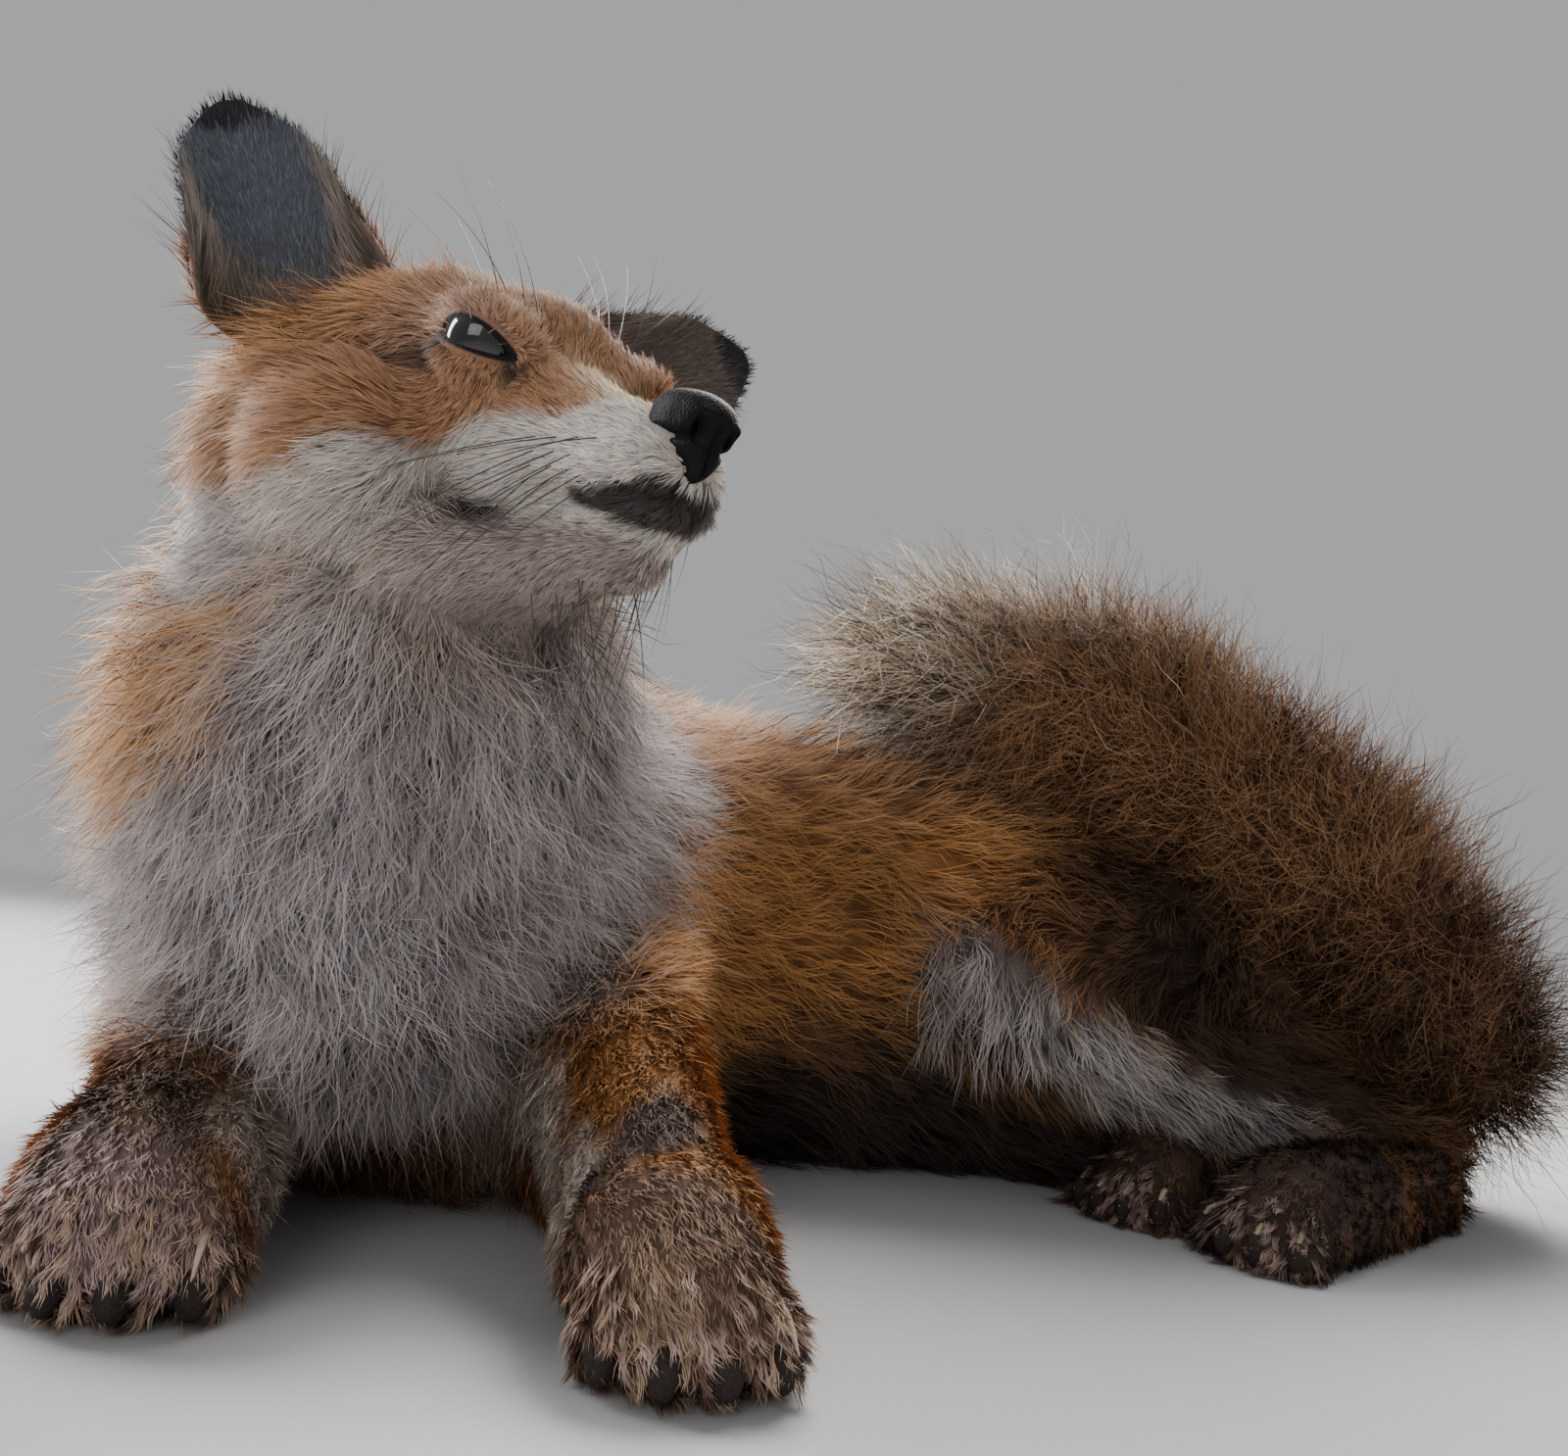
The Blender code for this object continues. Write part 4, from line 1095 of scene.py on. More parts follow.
STEPS = 9            # points along a guide
TUFT_SPREAD = 0.62   # a tuft's half width, for the spacing of the guides
TWIST = 24           # how much a strand turns about its own length, in degrees
STRAND_TONE, TUFT_TONE = 0.16, 0.10   # how much strands and tufts differ in lightness
MIDDLE_AT = 0.42     # where along a strand it has its middle colour
ROUNDNESS = 0.62     # how much the shading follows the skin, not the ribbon's own face
PATCH = 0.003        # size of a strand on the bake's map


def guide_paths(tufts, settle, random):
    """The path of each guide: it leaves the skin at its lift and lies down along the lie."""
    count = len(tufts.roots)
    side = np.cross(tufts.normals, tufts.lie)
    paths = np.zeros((count, STEPS, 3))
    at = tufts.roots.copy()
    phase = random.uniform(0, 2 * math.pi, count)
    wave = random.uniform(0.7, 1.3, count)
    for k in range(STEPS):
        share = k / (STEPS - 1)
        lift = np.radians(tufts.lift * (1 - share) + settle * share)[:, None]
        way = tufts.lie * np.cos(lift) + tufts.normals * np.sin(lift)
        paths[:, k] = at
        at = at + way * (tufts.length / (STEPS - 1))[:, None]
        swing = np.sin(2 * math.pi * wave * share * 1.3 + phase) - np.sin(phase)
        bob = np.cos(2 * math.pi * wave * share * 1.1 + phase) - np.cos(phase)
        paths[:, k] += side * (swing * tufts.curl * share)[:, None]
        paths[:, k] += tufts.normals * (bob * tufts.curl * 0.45 * share)[:, None]
    return paths, side


def kept_above(paths, length, surface):
    """Guides pushed out where they would run under the skin."""
    for k in range(1, STEPS):
        share = k / (STEPS - 1)
        for i in range(len(paths)):
            place, normal, _, _ = surface.find_nearest(Vector(paths[i, k]))
            rise = (Vector(paths[i, k]) - place).dot(normal)
            wanted = 0.00025 + share * length[i] * 0.10
            if rise < wanted:
                paths[i, k] += np.array(normal) * (wanted - rise)
    return paths


def strands(name, tufts, children, pairs, clump, settle, seed, stray=0.10, ragged=0.3, frizz=0.0,
            surface=None):
    """A coat piece: children strands for each guide, each a thin ribbon of pairs of points and a
    tip, drawn together towards the tuft's end by clump."""
    random = np.random.default_rng(seed)
    paths, side = guide_paths(tufts, settle, random)
    if surface:
        paths = kept_above(paths, tufts.length, surface)
    guides = np.repeat(np.arange(len(paths)), children)
    count = len(guides)
    spread = tufts.spacing[guides] * TUFT_SPREAD
    turn = random.uniform(0, 2 * math.pi, count)
    far = np.sqrt(random.uniform(size=count)) * spread
    offset = (side[guides] * (np.cos(turn) * far)[:, None]
              + tufts.lie[guides] * (np.sin(turn) * far)[:, None]
              - tufts.normals[guides] * np.minimum(0.0008, tufts.length[guides] * 0.05)[:, None])
    reach = 1 - ragged * random.uniform(size=count) ** 1.5
    length = tufts.length[guides] * reach
    drift = (side[guides] * random.normal(size=(count, 1))
             + tufts.normals[guides] * random.normal(size=(count, 1)) * 0.6) * (length * stray)[:, None]
    rows = []
    shares = np.linspace(0, 1, pairs + 1) ** 0.9
    for share in shares:
        along = share * reach * (STEPS - 1)
        low = np.minimum(along.astype(int), STEPS - 2)
        part = (along - low)[:, None]
        base = paths[guides, low] * (1 - part) + paths[guides, low + 1] * part
        crimp = random.normal(0, 1, (count, 3)) * (length * frizz)[:, None] if frizz and share else 0.0
        rows.append(base + offset * (1 - clump * share ** 1.2) + drift * share ** 1.5 + crimp)
    rows = np.stack(rows, axis=1)
    rows[:, :, 2] = np.maximum(rows[:, :, 2], FLOOR_GAP)
    beyond = np.maximum(np.abs(rows[:, :, 0]) - SIDE_REACH, 0.0)
    rows[:, :, 0] -= np.sign(rows[:, :, 0]) * (beyond - SIDE_ROOM * (1 - np.exp(-beyond / SIDE_ROOM)))

    ways = np.diff(rows, axis=1)
    ways = unit(np.concatenate([ways, ways[:, -1:]], axis=1))
    twist = random.normal(0, math.radians(TWIST), count)
    sheets = []
    across = []
    for k in range(pairs):
        flat = unit(np.cross(tufts.normals[guides], ways[:, k]))
        flat = turned_about(flat, ways[:, k], twist)
        across.append(flat)
        taper = (1 - shares[k] ** 1.6) ** 0.6
        half = flat * (tufts.width[guides] * (0.8 + 0.4 * random.uniform(size=count)) * taper / 2)[:, None]
        sheets += [rows[:, k] - half, rows[:, k] + half]
    points = np.stack([*sheets, rows[:, pairs]], axis=1)
    each = 2 * pairs + 1
    start = (np.arange(count) * each)[:, None]
    quads = [start + np.array([[2 * k, 2 * k + 1, 2 * k + 3, 2 * k + 2]]) for k in range(pairs - 1)]
    quads = np.concatenate(quads)
    tips = start + np.array([[each - 3, each - 2, each - 1]])
    mesh = mesh_from_arrays(name, points.reshape(-1, 3), quads[:, ::-1], tips[:, ::-1])

    # Colours: root, middle and tip, each strand a little lighter or darker than the next.
    tone = np.exp(random.normal(0, STRAND_TONE, count))[:, None]
    tone = tone * np.exp(random.normal(0, TUFT_TONE, len(paths)))[guides][:, None]
    warm = 1 + random.normal(0, 0.035, (count, 1)) * np.array([[0.6, 0.0, -1.0]])
    root, middle, tip = (part[guides] * tone * warm for part in tufts.colours)
    colours = []
    for k in range(pairs + 1):
        share = shares[k]
        low = root + (middle - root) * min(share / MIDDLE_AT, 1.0)
        colour = low + (tip - middle) * max((share - MIDDLE_AT) / (1 - MIDDLE_AT), 0.0)
        colours += [colour] * (2 if k < pairs else 1)
    paint(mesh, np.stack(colours, axis=1).reshape(-1, 3))

    # Shading follows the skin's roundness more than each ribbon's own face.
    own = [unit(np.cross(ways[:, k], across[min(k, pairs - 1)])) for k in range(pairs + 1)]
    shading = []
    for k in range(pairs + 1):
        face = own[k] * np.sign((own[k] * tufts.normals[guides]).sum(axis=1, keepdims=True) + 1e-9)
        soft = unit(tufts.normals[guides] * ROUNDNESS + face * (1 - ROUNDNESS))
        shading += [soft] * (2 if k < pairs else 1)
    shading = np.stack(shading, axis=1).reshape(-1, 3)
    mesh.normals_split_custom_set_from_vertices(shading)

    # The bake's map: each strand is a small patch at its root's place on the unwrapped skin.
    u, v = (np.repeat(place[:, None], each, axis=1) for place in tufts.place[guides].T)
    u[:, :-1] += np.tile((-PATCH / 2, PATCH / 2), pairs)
    v[:, :-1] += PATCH * (np.repeat(shares[:pairs], 2) - 0.5)
    v[:, -1] += PATCH / 2
    spots = np.stack([u, v], axis=2).reshape(-1, 2)
    corners = np.zeros(len(mesh.loops), np.int32)
    mesh.loops.foreach_get("vertex_index", corners)
    layer = mesh.uv_layers.new(name="OFBake")
    layer.data.foreach_set("uv", np.clip(spots[corners], 0, 1).astype(np.float32).ravel())
    return new_piece(name, mesh)


def unwrapped(points, here, names):
    """Each point's place on an unwrap of the limbs: one tile a limb, along it and round it."""
    columns = math.ceil(math.sqrt(len(names)))
    place = np.zeros((len(points), 2))
    main = here.shares[:, [NAMES.index(n) for n in names]].argmax(axis=1)
    for tile, name in enumerate(names):
        limb = LIMBS[name]
        mine = main == tile
        at = here.place[mine, NAMES.index(name)]
        way = limb.tangents[at]
        gap = points[mine] - limb.centres[at]
        side = unit(np.cross(way, np.array((0.0, 0.0, 1.0)) + way[:, ::-1] * 0.01))
        upward = np.cross(side, way)
        angle = np.arctan2((gap * upward).sum(axis=1), (gap * side).sum(axis=1)) / (2 * math.pi) + 0.5
        beyond = (gap * way).sum(axis=1)
        along = np.clip((limb.run[at] + beyond + limb.reach[at] * 0.5) / (limb.run[-1] + limb.reach[0]), 0, 1)
        column, row = tile % columns, tile // columns
        place[mine, 0] = (column + 0.02 + 0.96 * angle) / columns
        place[mine, 1] = (row + 0.02 + 0.96 * along) / columns
    return place


def swirled(lie, normals, points, degrees, grain, seed):
    """The lie, turned to and fro in patches."""
    return turned_about(lie, normals, np.radians(mottle(points, grain, seed) * degrees))


def round_eyes(points, normals, lie, length, lift):
    """Near an eye hairs point away from it, and get shorter."""
    local = in_head(points)
    turn = np.array(TO_HEAD.to_3x3())
    for eye in EYES.values():
        far = eye.angles(local)[2]
        gap = local - eye.centre
        away = (gap @ eye.back)[:, None] * eye.back + (gap @ eye.up)[:, None] * eye.up * 2.2
        away = on_skin(unit(away) @ turn, normals)
        near = ramp(far, 0.024, 0.012)
        lie = on_skin(lie + away * (near * 1.3)[:, None], normals)
        length = length * (1 - 0.42 * near)
        lift = lift * (1 + 0.25 * near)
    return lie, length, lift


def clear_of_eyes(points):
    """True where a root lies outside both eyes' openings and their bare rims."""
    local = in_head(points)
    clear = np.ones(len(points), bool)
    for eye in EYES.values():
        along, upward, far = eye.angles(local)
        clear &= ~((eye.opening(along, upward, grow=BARE_LID) < 1.0) & (far < 0.020))
    return clear


NOSE_ROOM = ((0.0625, 0, -0.0163), (0.0110, 0.0090, 0.0085))   # centre and half sizes in the head's axes


def clear_of_mouth(points):
    """True where a root lies off the bare lips and the nose leather."""
    local = in_head(points)
    near = np.linalg.norm(local - np.array((0.03, 0, -0.03)), axis=1) < 0.06
    clear = np.ones(len(points), bool)
    line = mouth_path()
    far = np.linalg.norm(local[near][:, None, :] - line[None], axis=2).min(axis=1)
    clear[near] = far > BARE_LIP
    nose = (local - np.array(NOSE_ROOM[0])) / np.array(NOSE_ROOM[1])
    return clear & (np.linalg.norm(nose, axis=1) > 1.0)


def clear_of_pads(points):
    """True where a root lies off the bare toe pads."""
    clear = np.ones(len(points), bool)
    for paw, number, matrix, radius in toes():
        size = np.array((0.60, 0.42, 0.60)) * radius * BARE_PADS[paw][number]
        gap = moved(points, matrix.inverted()) - np.array((1.15, 0, -0.16)) * radius
        clear &= np.linalg.norm(gap / size, axis=1) > 1.0
    return clear


def coat_piece(name, surfaces, limbs, thousands, children, pairs, clump, settle, seed, where=None,
               less=None, swirl=12, grain=0.03, slot="coat", tousle=7, **more):
    """A coat piece over some limbs.  See COATS for its traits."""
    mesh, here, surface = surfaces["body"]
    count = strand_count(pairs, thousands * 1000)
    points = vertex_arrays(mesh)[0]
    random = np.random.default_rng(seed)
    weight = where(points, here) if where else here.share(*limbs)
    if less:
        weight = weight * (1 - less(points, here))
    weight = weight * here.crowd
    roots, outward, spacing = sample(mesh, count // children, weight, random)
    keep = clear_of_eyes(roots) & clear_of_mouth(roots) & clear_of_pads(roots) & (roots[:, 2] > 0.0012)
    roots, outward, spacing = roots[keep], outward[keep], spacing[keep]
    lay = Lie(roots, outward)
    lie = swirled(lay.lie, outward, roots, swirl, grain, seed + 1)
    lie = turned_about(lie, outward, np.radians(random.normal(0, tousle, len(roots))))
    lie, length, lift = round_eyes(roots, outward, lie, lay.length * MM, lay.lift)
    lift = lift * np.exp(random.normal(0, 0.02 * tousle, len(roots)))
    uneven = 1 + 0.18 * mottle(roots, 0.012, seed + 2) + random.normal(0, 0.08, len(roots))
    tufts = Tufts(roots, outward, lie, spacing, length * np.clip(uneven, 0.5, 1.5), lift,
                  lay.width * MM, lay.curl * MM, mark(roots, lay), unwrapped(roots, lay, limbs))
    piece = strands(name, tufts, children, pairs, clump, settle, seed + 3, surface=surface, **more)
    return finished(piece, "fur")


# -------------------- materials
class Socket:
    """A shader socket that can be used in Python arithmetic."""

    def __init__(self, tree, socket):
        self.tree, self.socket = tree, socket

    def math(self, operation, *others):
        """A Math node on this value and others."""
        return self.tree.node("Math", {"operation": operation}, self, *others)

    def __add__(self, other):
        return self.math("ADD", other)

    def __mul__(self, other):
        return self.math("MULTIPLY", other)


class Finish:
    """A material in the making: nodes from one method, and a Principled shader at its end."""

    def __init__(self, name, **settings):
        self.material = bpy.data.materials.new(name)
        self.material.use_nodes = True
        self.nodes = self.material.node_tree.nodes
        self.links = self.material.node_tree.links
        self.shader = self.nodes["Principled BSDF"]
        for socket, value in settings.items():
            self.shader.inputs[SOCKETS[socket]].default_value = value

    def node(self, kind, settings, *values, output=0, **named):
        """A shader node of a kind: its settings are set first, then its inputs are set or linked."""
        made = self.nodes.new("ShaderNode" + kind)
        for key, value in settings.items():
            setattr(made, key, value)
        for key, value in [*enumerate(values), *named.items()]:
            target = made.inputs[key.replace("_", " ") if isinstance(key, str) else key]
            if isinstance(value, Socket):
                self.links.new(value.socket, target)
            else:
                target.default_value = value
        return Socket(self, made.outputs[output])

    def shades(self, value, *stops):
        """Colours over a value: each stop is a place and a colour."""
        made = self.nodes.new("ShaderNodeValToRGB")
        elements = made.color_ramp.elements
        while len(elements) < len(stops):
            elements.new(0.5)
        for element, (place, colour) in zip(elements, stops):
            element.position, element.color = place, (*colour, 1.0)
        self.links.new(value.socket, made.inputs[0])
        return Socket(self, made.outputs["Color"])

    def tinted(self, tone):
        """Feeds the markings, made lighter and darker by a tone, to the base colour."""
        markings = self.node("Attribute", {"attribute_name": "markings"}, output="Color")
        level = self.node("CombineColor", {}, tone, tone, tone, output="Color")
        self.feed("Base Color", self.mix(1.0, markings, level, "MULTIPLY"))

    def place(self, scale=(1, 1, 1)):
        """Object coordinates through a Mapping node."""
        spot = self.node("TexCoord", {}, output="Object")
        return self.node("Mapping", {"vector_type": "POINT"}, spot, Scale=scale)

    def noise(self, place, scale, detail=3.0, rough=0.55):
        """A noise's value."""
        return self.node("TexNoise", {}, Vector=place, Scale=scale, Detail=detail, Roughness=rough)

    def mix(self, share, first, second, blend="MIX"):
        """Two colours mixed."""
        made = self.nodes.new("ShaderNodeMix")
        made.data_type, made.blend_type = "RGBA", blend
        for target, value in ((0, share), (6, first), (7, second)):
            if isinstance(value, Socket):
                self.links.new(value.socket, made.inputs[target])
            else:
                made.inputs[target].default_value = value
        return Socket(self, made.outputs[2])

    def bump(self, height, strength, distance):
        """A Bump node that feeds the shader's normal."""
        inputs = {"Height": height, "Strength": strength, "Distance": distance}
        self.feed("Normal", self.node("Bump", {}, output="Normal", **inputs))

    def feed(self, name, value):
        """Links a value to the shader's socket of that name."""
        self.links.new(value.socket, self.shader.inputs[name])


SOCKETS = {
    "roughness": "Roughness", "specular": "Specular IOR Level", "sheen": "Sheen Weight",
    "sheen_roughness": "Sheen Roughness", "coat": "Coat Weight", "coat_roughness": "Coat Roughness",
}


def grey(value):
    """A grey colour."""
    return (value, value, value, 1.0)


def fur_finish(name, rough, variation):
    """Hair: the markings, a little lighter and darker in blotches and from hair to hair."""
    made = Finish(name, specular=0.15, sheen=0.02, sheen_roughness=0.5)
    place = made.place()
    blotch = made.noise(place, 38.0, 4.0)
    hair = made.noise(place, 900.0, 2.0)
    made.tinted(blotch * variation + hair * (variation * 0.6) + (1.0 - variation * 0.8))
    made.feed("Roughness", hair * 0.16 + rough)
    made.bump(hair, 0.12, 0.0006)
    return made.material


def skin_finish():
    """The skin under the coat: the same markings, with the nap of short fur as bump."""
    made = Finish("skin", specular=0.14, sheen=0.02, sheen_roughness=0.5)
    nap = made.noise(made.place((1.0, 1.0, 0.45)), 1100.0, 3.0, 0.7)
    blotch = made.noise(made.place(), 60.0, 5.0)
    made.tinted(nap * 0.5 + blotch * 0.35 + 0.55)
    made.feed("Roughness", nap * 0.25 + 0.55)
    made.bump(nap, 0.7, 0.0009)
    return made.material


def leather_finish(name, colour, rough, grain, depth):
    """Bare leather of nose, lips and pads: pebbled, the pebbles darker than the grooves between them."""
    made = Finish(name, specular=0.08, coat=0.01, coat_roughness=0.3)
    place = made.place()
    pebble = made.node("TexVoronoi", {"feature": "F1"}, Vector=place, Scale=grain, output="Distance")
    cloud = made.noise(place, 160.0, 4.0)
    light = tuple(c * 1.9 + 0.004 for c in colour)
    made.feed("Base Color", made.shades(cloud * 0.6 + pebble * 0.5, (0.2, colour), (0.9, light)))
    made.feed("Roughness", cloud * 0.3 + rough)
    made.bump(pebble * -1.0 + cloud * 0.4, 0.55, depth)
    return made.material


def eye_finish(name):
    """A glass eye: a dark amber iris with an upright slit, under a clear wet surface."""
    made = Finish(name.replace("eye_", "eye_glass_"), roughness=0.04, specular=0.5, coat=0.4,
                  coat_roughness=0.02)
    eye = EYES[name]
    turn = HEAD.to_3x3()
    spot = made.node("TexCoord", {}, output="Object")
    centre = HEAD @ Vector(eye.centre)
    gap = made.node("VectorMath", {"operation": "SUBTRACT"}, spot, tuple(centre))
    gap = made.node("VectorMath", {"operation": "SCALE"}, gap, Scale=1.0 / EYE_RADIUS)
    back, up = (
        made.node("VectorMath", {"operation": "DOT_PRODUCT"}, gap, tuple(turn @ Vector(axis)), output="Value")
        for axis in (eye.back, eye.up)
    )
    far = (back * back + up * up).math("POWER", 0.5)
    slit = ((back * 2.9) * (back * 2.9) + (up * 1.45) * (up * 1.45)).math("POWER", 0.5)
    pupil = made.node("MapRange", {"interpolation_type": "SMOOTHSTEP"}, slit, 0.86, 1.0, 0.0, 1.0)
    fibres = made.noise(gap, 9.0, 5.0, 0.7)
    iris = made.shades(far * 0.75 + fibres * 0.25, (0.25, (0.008, 0.006, 0.005)),
                       (0.60, (0.014, 0.011, 0.009)), (0.85, (0.006, 0.006, 0.006)))
    made.feed("Base Color", made.mix(pupil, (0.004, 0.004, 0.005, 1.0), iris))
    return made.material


def horn_finish():
    """Claws: pale horn with browner patches, and fine lengthwise grain."""
    made = Finish("claw_horn", specular=0.5, coat=0.3, coat_roughness=0.2)
    grain = made.noise(made.place((1.0, 1.0, 4.0)), 700.0, 3.0)
    cloud = made.noise(made.place(), 90.0, 3.0)
    shade = made.shades(cloud * 0.75 + grain * 0.25, (0.30, (0.14, 0.085, 0.050)),
                        (0.55, (0.42, 0.320, 0.230)), (0.80, (0.58, 0.500, 0.400)))
    made.feed("Base Color", shade)
    made.feed("Roughness", grain * 0.2 + 0.22)
    made.bump(grain, 0.25, 0.0003)
    return made.material


def whisker_finish(name, colour):
    """Whiskers and brow bristles: smooth dark hair."""
    made = Finish(name, specular=0.5, coat=0.2, coat_roughness=0.3)
    cloud = made.noise(made.place(), 120.0, 2.0)
    light = tuple(c * 2.2 + 0.01 for c in colour)
    made.feed("Base Color", made.mix(cloud, (*colour, 1.0), (*light, 1.0)))
    made.feed("Roughness", cloud * 0.2 + 0.3)
    return made.material


MATERIALS = {
    "fur": fur_finish("fur", 0.58, 0.34),
    "skin": skin_finish(),
    "nose_leather": leather_finish("nose_leather", (0.0035, 0.0035, 0.004), 0.46, 1500.0, 0.0003),
    "lip_leather": leather_finish("lip_leather", (0.010, 0.008, 0.008), 0.5, 1500.0, 0.0002),
    "pad_leather": leather_finish("pad_leather", (0.020, 0.015, 0.013), 0.55, 1300.0, 0.0004),
    **{name: eye_finish(name) for name in EYES},
    "horn": horn_finish(),
    "whisker": whisker_finish("whisker_hair", (0.016, 0.010, 0.008)),
}


def finished(piece, material):
    """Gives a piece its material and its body."""
    piece.data.materials.clear()
    piece.data.materials.append(MATERIALS[material])
    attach(piece, "root")
    return piece


# -------------------- rods along paths
def rod_tree():
    """Geometry Nodes that turn chains of edges into tapered round rods."""
    tree = bpy.data.node_groups.new("tapered_rods", "GeometryNodeTree")
    face = tree.interface
    face.new_socket("Paths", in_out="INPUT", socket_type="NodeSocketGeometry")
    for label, value in (("Root radius", 0.0003), ("Tip share", 0.15), ("Taper", 1.0)):
        socket = face.new_socket(label, in_out="INPUT", socket_type="NodeSocketFloat")
        socket.default_value = value
    sides = face.new_socket("Sides", in_out="INPUT", socket_type="NodeSocketInt")
    sides.default_value = 5
    face.new_socket("Finish", in_out="INPUT", socket_type="NodeSocketMaterial")
    face.new_socket("Rods", in_out="OUTPUT", socket_type="NodeSocketGeometry")

    def node(kind, inputs, **settings):
        made = tree.nodes.new(kind)
        for key, value in settings.items():
            setattr(made, key, value)
        for key, value in inputs.items():
            if isinstance(value, bpy.types.NodeSocket):
                tree.links.new(value, made.inputs[key])
            else:
                made.inputs[key].default_value = value
        return made.outputs

    given = node("NodeGroupInput", {})
    along = node("GeometryNodeSplineParameter", {})["Factor"]
    thin = node("ShaderNodeMath", {0: along, 1: given["Taper"]}, operation="POWER")[0]
    taper = node("ShaderNodeMapRange", {"Value": thin, "To Min": 1.0, "To Max": given["Tip share"]})[0]
    thickness = node("ShaderNodeMath", {0: taper, 1: given["Root radius"]}, operation="MULTIPLY")[0]
    ring = node("GeometryNodeCurvePrimitiveCircle", {"Resolution": given["Sides"], "Radius": 1.0})[0]
    curve = node("GeometryNodeMeshToCurve", {0: given["Paths"]})[0]
    rod = node("GeometryNodeCurveToMesh", {"Curve": curve, "Profile Curve": ring, "Scale": thickness,
                                           "Fill Caps": True})[0]
    real = node("GeometryNodeRealizeInstances", {0: rod})[0]
    smooth = node("GeometryNodeSetShadeSmooth", {0: real})[0]
    dress = node("GeometryNodeSetMaterial", {0: smooth, "Material": given["Finish"]})[0]
    node("NodeGroupOutput", {0: dress})
    return tree


RODS = rod_tree()


def rods(name, paths, material, slot=None, **sizes):
    """Tapered round rods along paths, each a list of points in the frame, as one mesh."""
    points = np.concatenate([np.asarray(p, float) for p in paths])
    edges, start = [], 0
    for path in paths:
        edges += [(start + k, start + k + 1) for k in range(len(path) - 1)]
        start += len(path)
    mesh = bpy.data.meshes.new(name)
    mesh.from_pydata([tuple(p) for p in points], edges, [])
    piece = new_piece(name, mesh)
    maker = piece.modifiers.new("rods", "NODES")
    maker.node_group = RODS
    identifiers = {s.name: s.identifier for s in RODS.interface.items_tree if s.in_out == "INPUT"}
    for label, value in sizes.items():
        maker[identifiers[label.replace("_", " ").capitalize()]] = value
    maker[identifiers["Finish"]] = MATERIALS[material]
    applied(piece)
    return finished(piece, material)


# -------------------- bare pieces
def glass_eye(name):
    """One glass eye: a ball, bulged a little where the cornea is."""
    eye = EYES[name]
    mesh = ball((0, 0, 0), (1, 1, 1), 48, 32)
    for vert in mesh.verts:
        out = vert.co.normalized().dot(Vector(eye.out))
        vert.co *= EYE_RADIUS * (1 + 0.035 * max(0.0, (out - 0.62) / 0.38) ** 2)
        vert.co += Vector(eye.centre)
    mesh.transform(HEAD)
    data = mesh_of(mesh, name)
    data.shade_smooth()
    piece = finished(new_piece(name + "_glass", data), name)
    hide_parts(name)
    return piece


def nose_leather():
    """The nose: a blunt pad with two comma nostrils, a groove between them and a rounded top."""
    mesh = ball((0, 0, 0), (1, 1, 1), 96, 64)
    for vert in mesh.verts:
        x, y, z = vert.co
        front = ramp(x, 0.0, 0.25)
        low = ramp(z, -0.12, -0.95)
        wide = 0.0079 * (1 + 0.12 * z) * (1 - 0.05 * front) * (1 - 0.50 * low)
        px = 0.0102 * math.copysign(abs(x) ** 0.75, x) + 0.0012 * z * front + 0.0042 * low
        py = wide * math.copysign(abs(y) ** 0.86, y)
        pz = math.copysign(0.0086 * abs(z) ** 0.74 if z > 0 else 0.0108 * abs(z) ** 0.9, z)
        for side in (1, -1):
            far = side * y - 0.48
            hole = math.exp(-(far / 0.15) ** 2 - ((z + 0.02) / 0.17) ** 2)
            slit = math.exp(-((z + 0.09 + 0.25 * far) / 0.09) ** 2)
            slit *= ramp(far, 0.0, 0.25) * ramp(x, -0.25, 0.05)
            wing = math.exp(-((far - 0.10) / 0.26) ** 2 - ((z - 0.28) / 0.18) ** 2)
            px -= (0.0046 * hole + 0.0012 * slit - 0.0008 * wing) * front
            py -= side * (0.0020 * slit - 0.0004 * wing)
        groove = math.exp(-(y / 0.08) ** 2) * ramp(z, 0.40, 0.05)
        px -= 0.0013 * groove * front
        vert.co = Vector((px, py, pz))
    lean = Matrix.Rotation(math.radians(9.0), 4, "Y") @ Matrix.Rotation(math.radians(-8.0), 4, "X")
    mesh.transform(HEAD @ Matrix.Translation((0.0620, -0.0003, -0.0164)) @ lean)
    data = mesh_of(mesh, "nose_pad")
    data.shade_smooth()
    piece = finished(new_piece("nose_pad", data), "nose_leather")
    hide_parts("nose")
    return piece


UPPER_LIP = [(0.040, -0.0135, -0.0312), (0.048, -0.0130, -0.0308), (0.055, -0.0110, -0.0306),
             (0.061, -0.0070, -0.0306), (0.0645, -0.0020, -0.0305), (0.0655, 0.0030, -0.0315)]
LOWER_LIP = [(0.040, -0.0115, -0.0348), (0.046, -0.0095, -0.0352), (0.051, -0.0065, -0.0355),
             (0.0550, -0.0020, -0.0358), (0.0560, 0.0040, -0.0360)]


def lips(head_skin):
    """The bare dark edges of the lips, laid on the skin round the front of the mouth."""
    paths = []
    for line in (UPPER_LIP, LOWER_LIP):
        laid = []
        for spot in smooth_rows(line, 5):
            place, normal, _, _ = head_skin.find_nearest(Vector(spot))
            laid.append(np.array(place - normal * 0.0001))
        paths.append(moved(np.array(laid), HEAD))
    return rods("lips", paths, "lip_leather", "nose", root_radius=0.0007, tip_share=0.6, sides=8)


def curved(start, way, bend, length, count=12):
    """A path that starts at a place, runs one way and bends to another."""
    start, way, bend = (np.asarray(v, float) for v in (start, way, bend))
    share = np.linspace(0, 1, count)[:, None]
    return start + way * length * share + bend * length * share ** 2


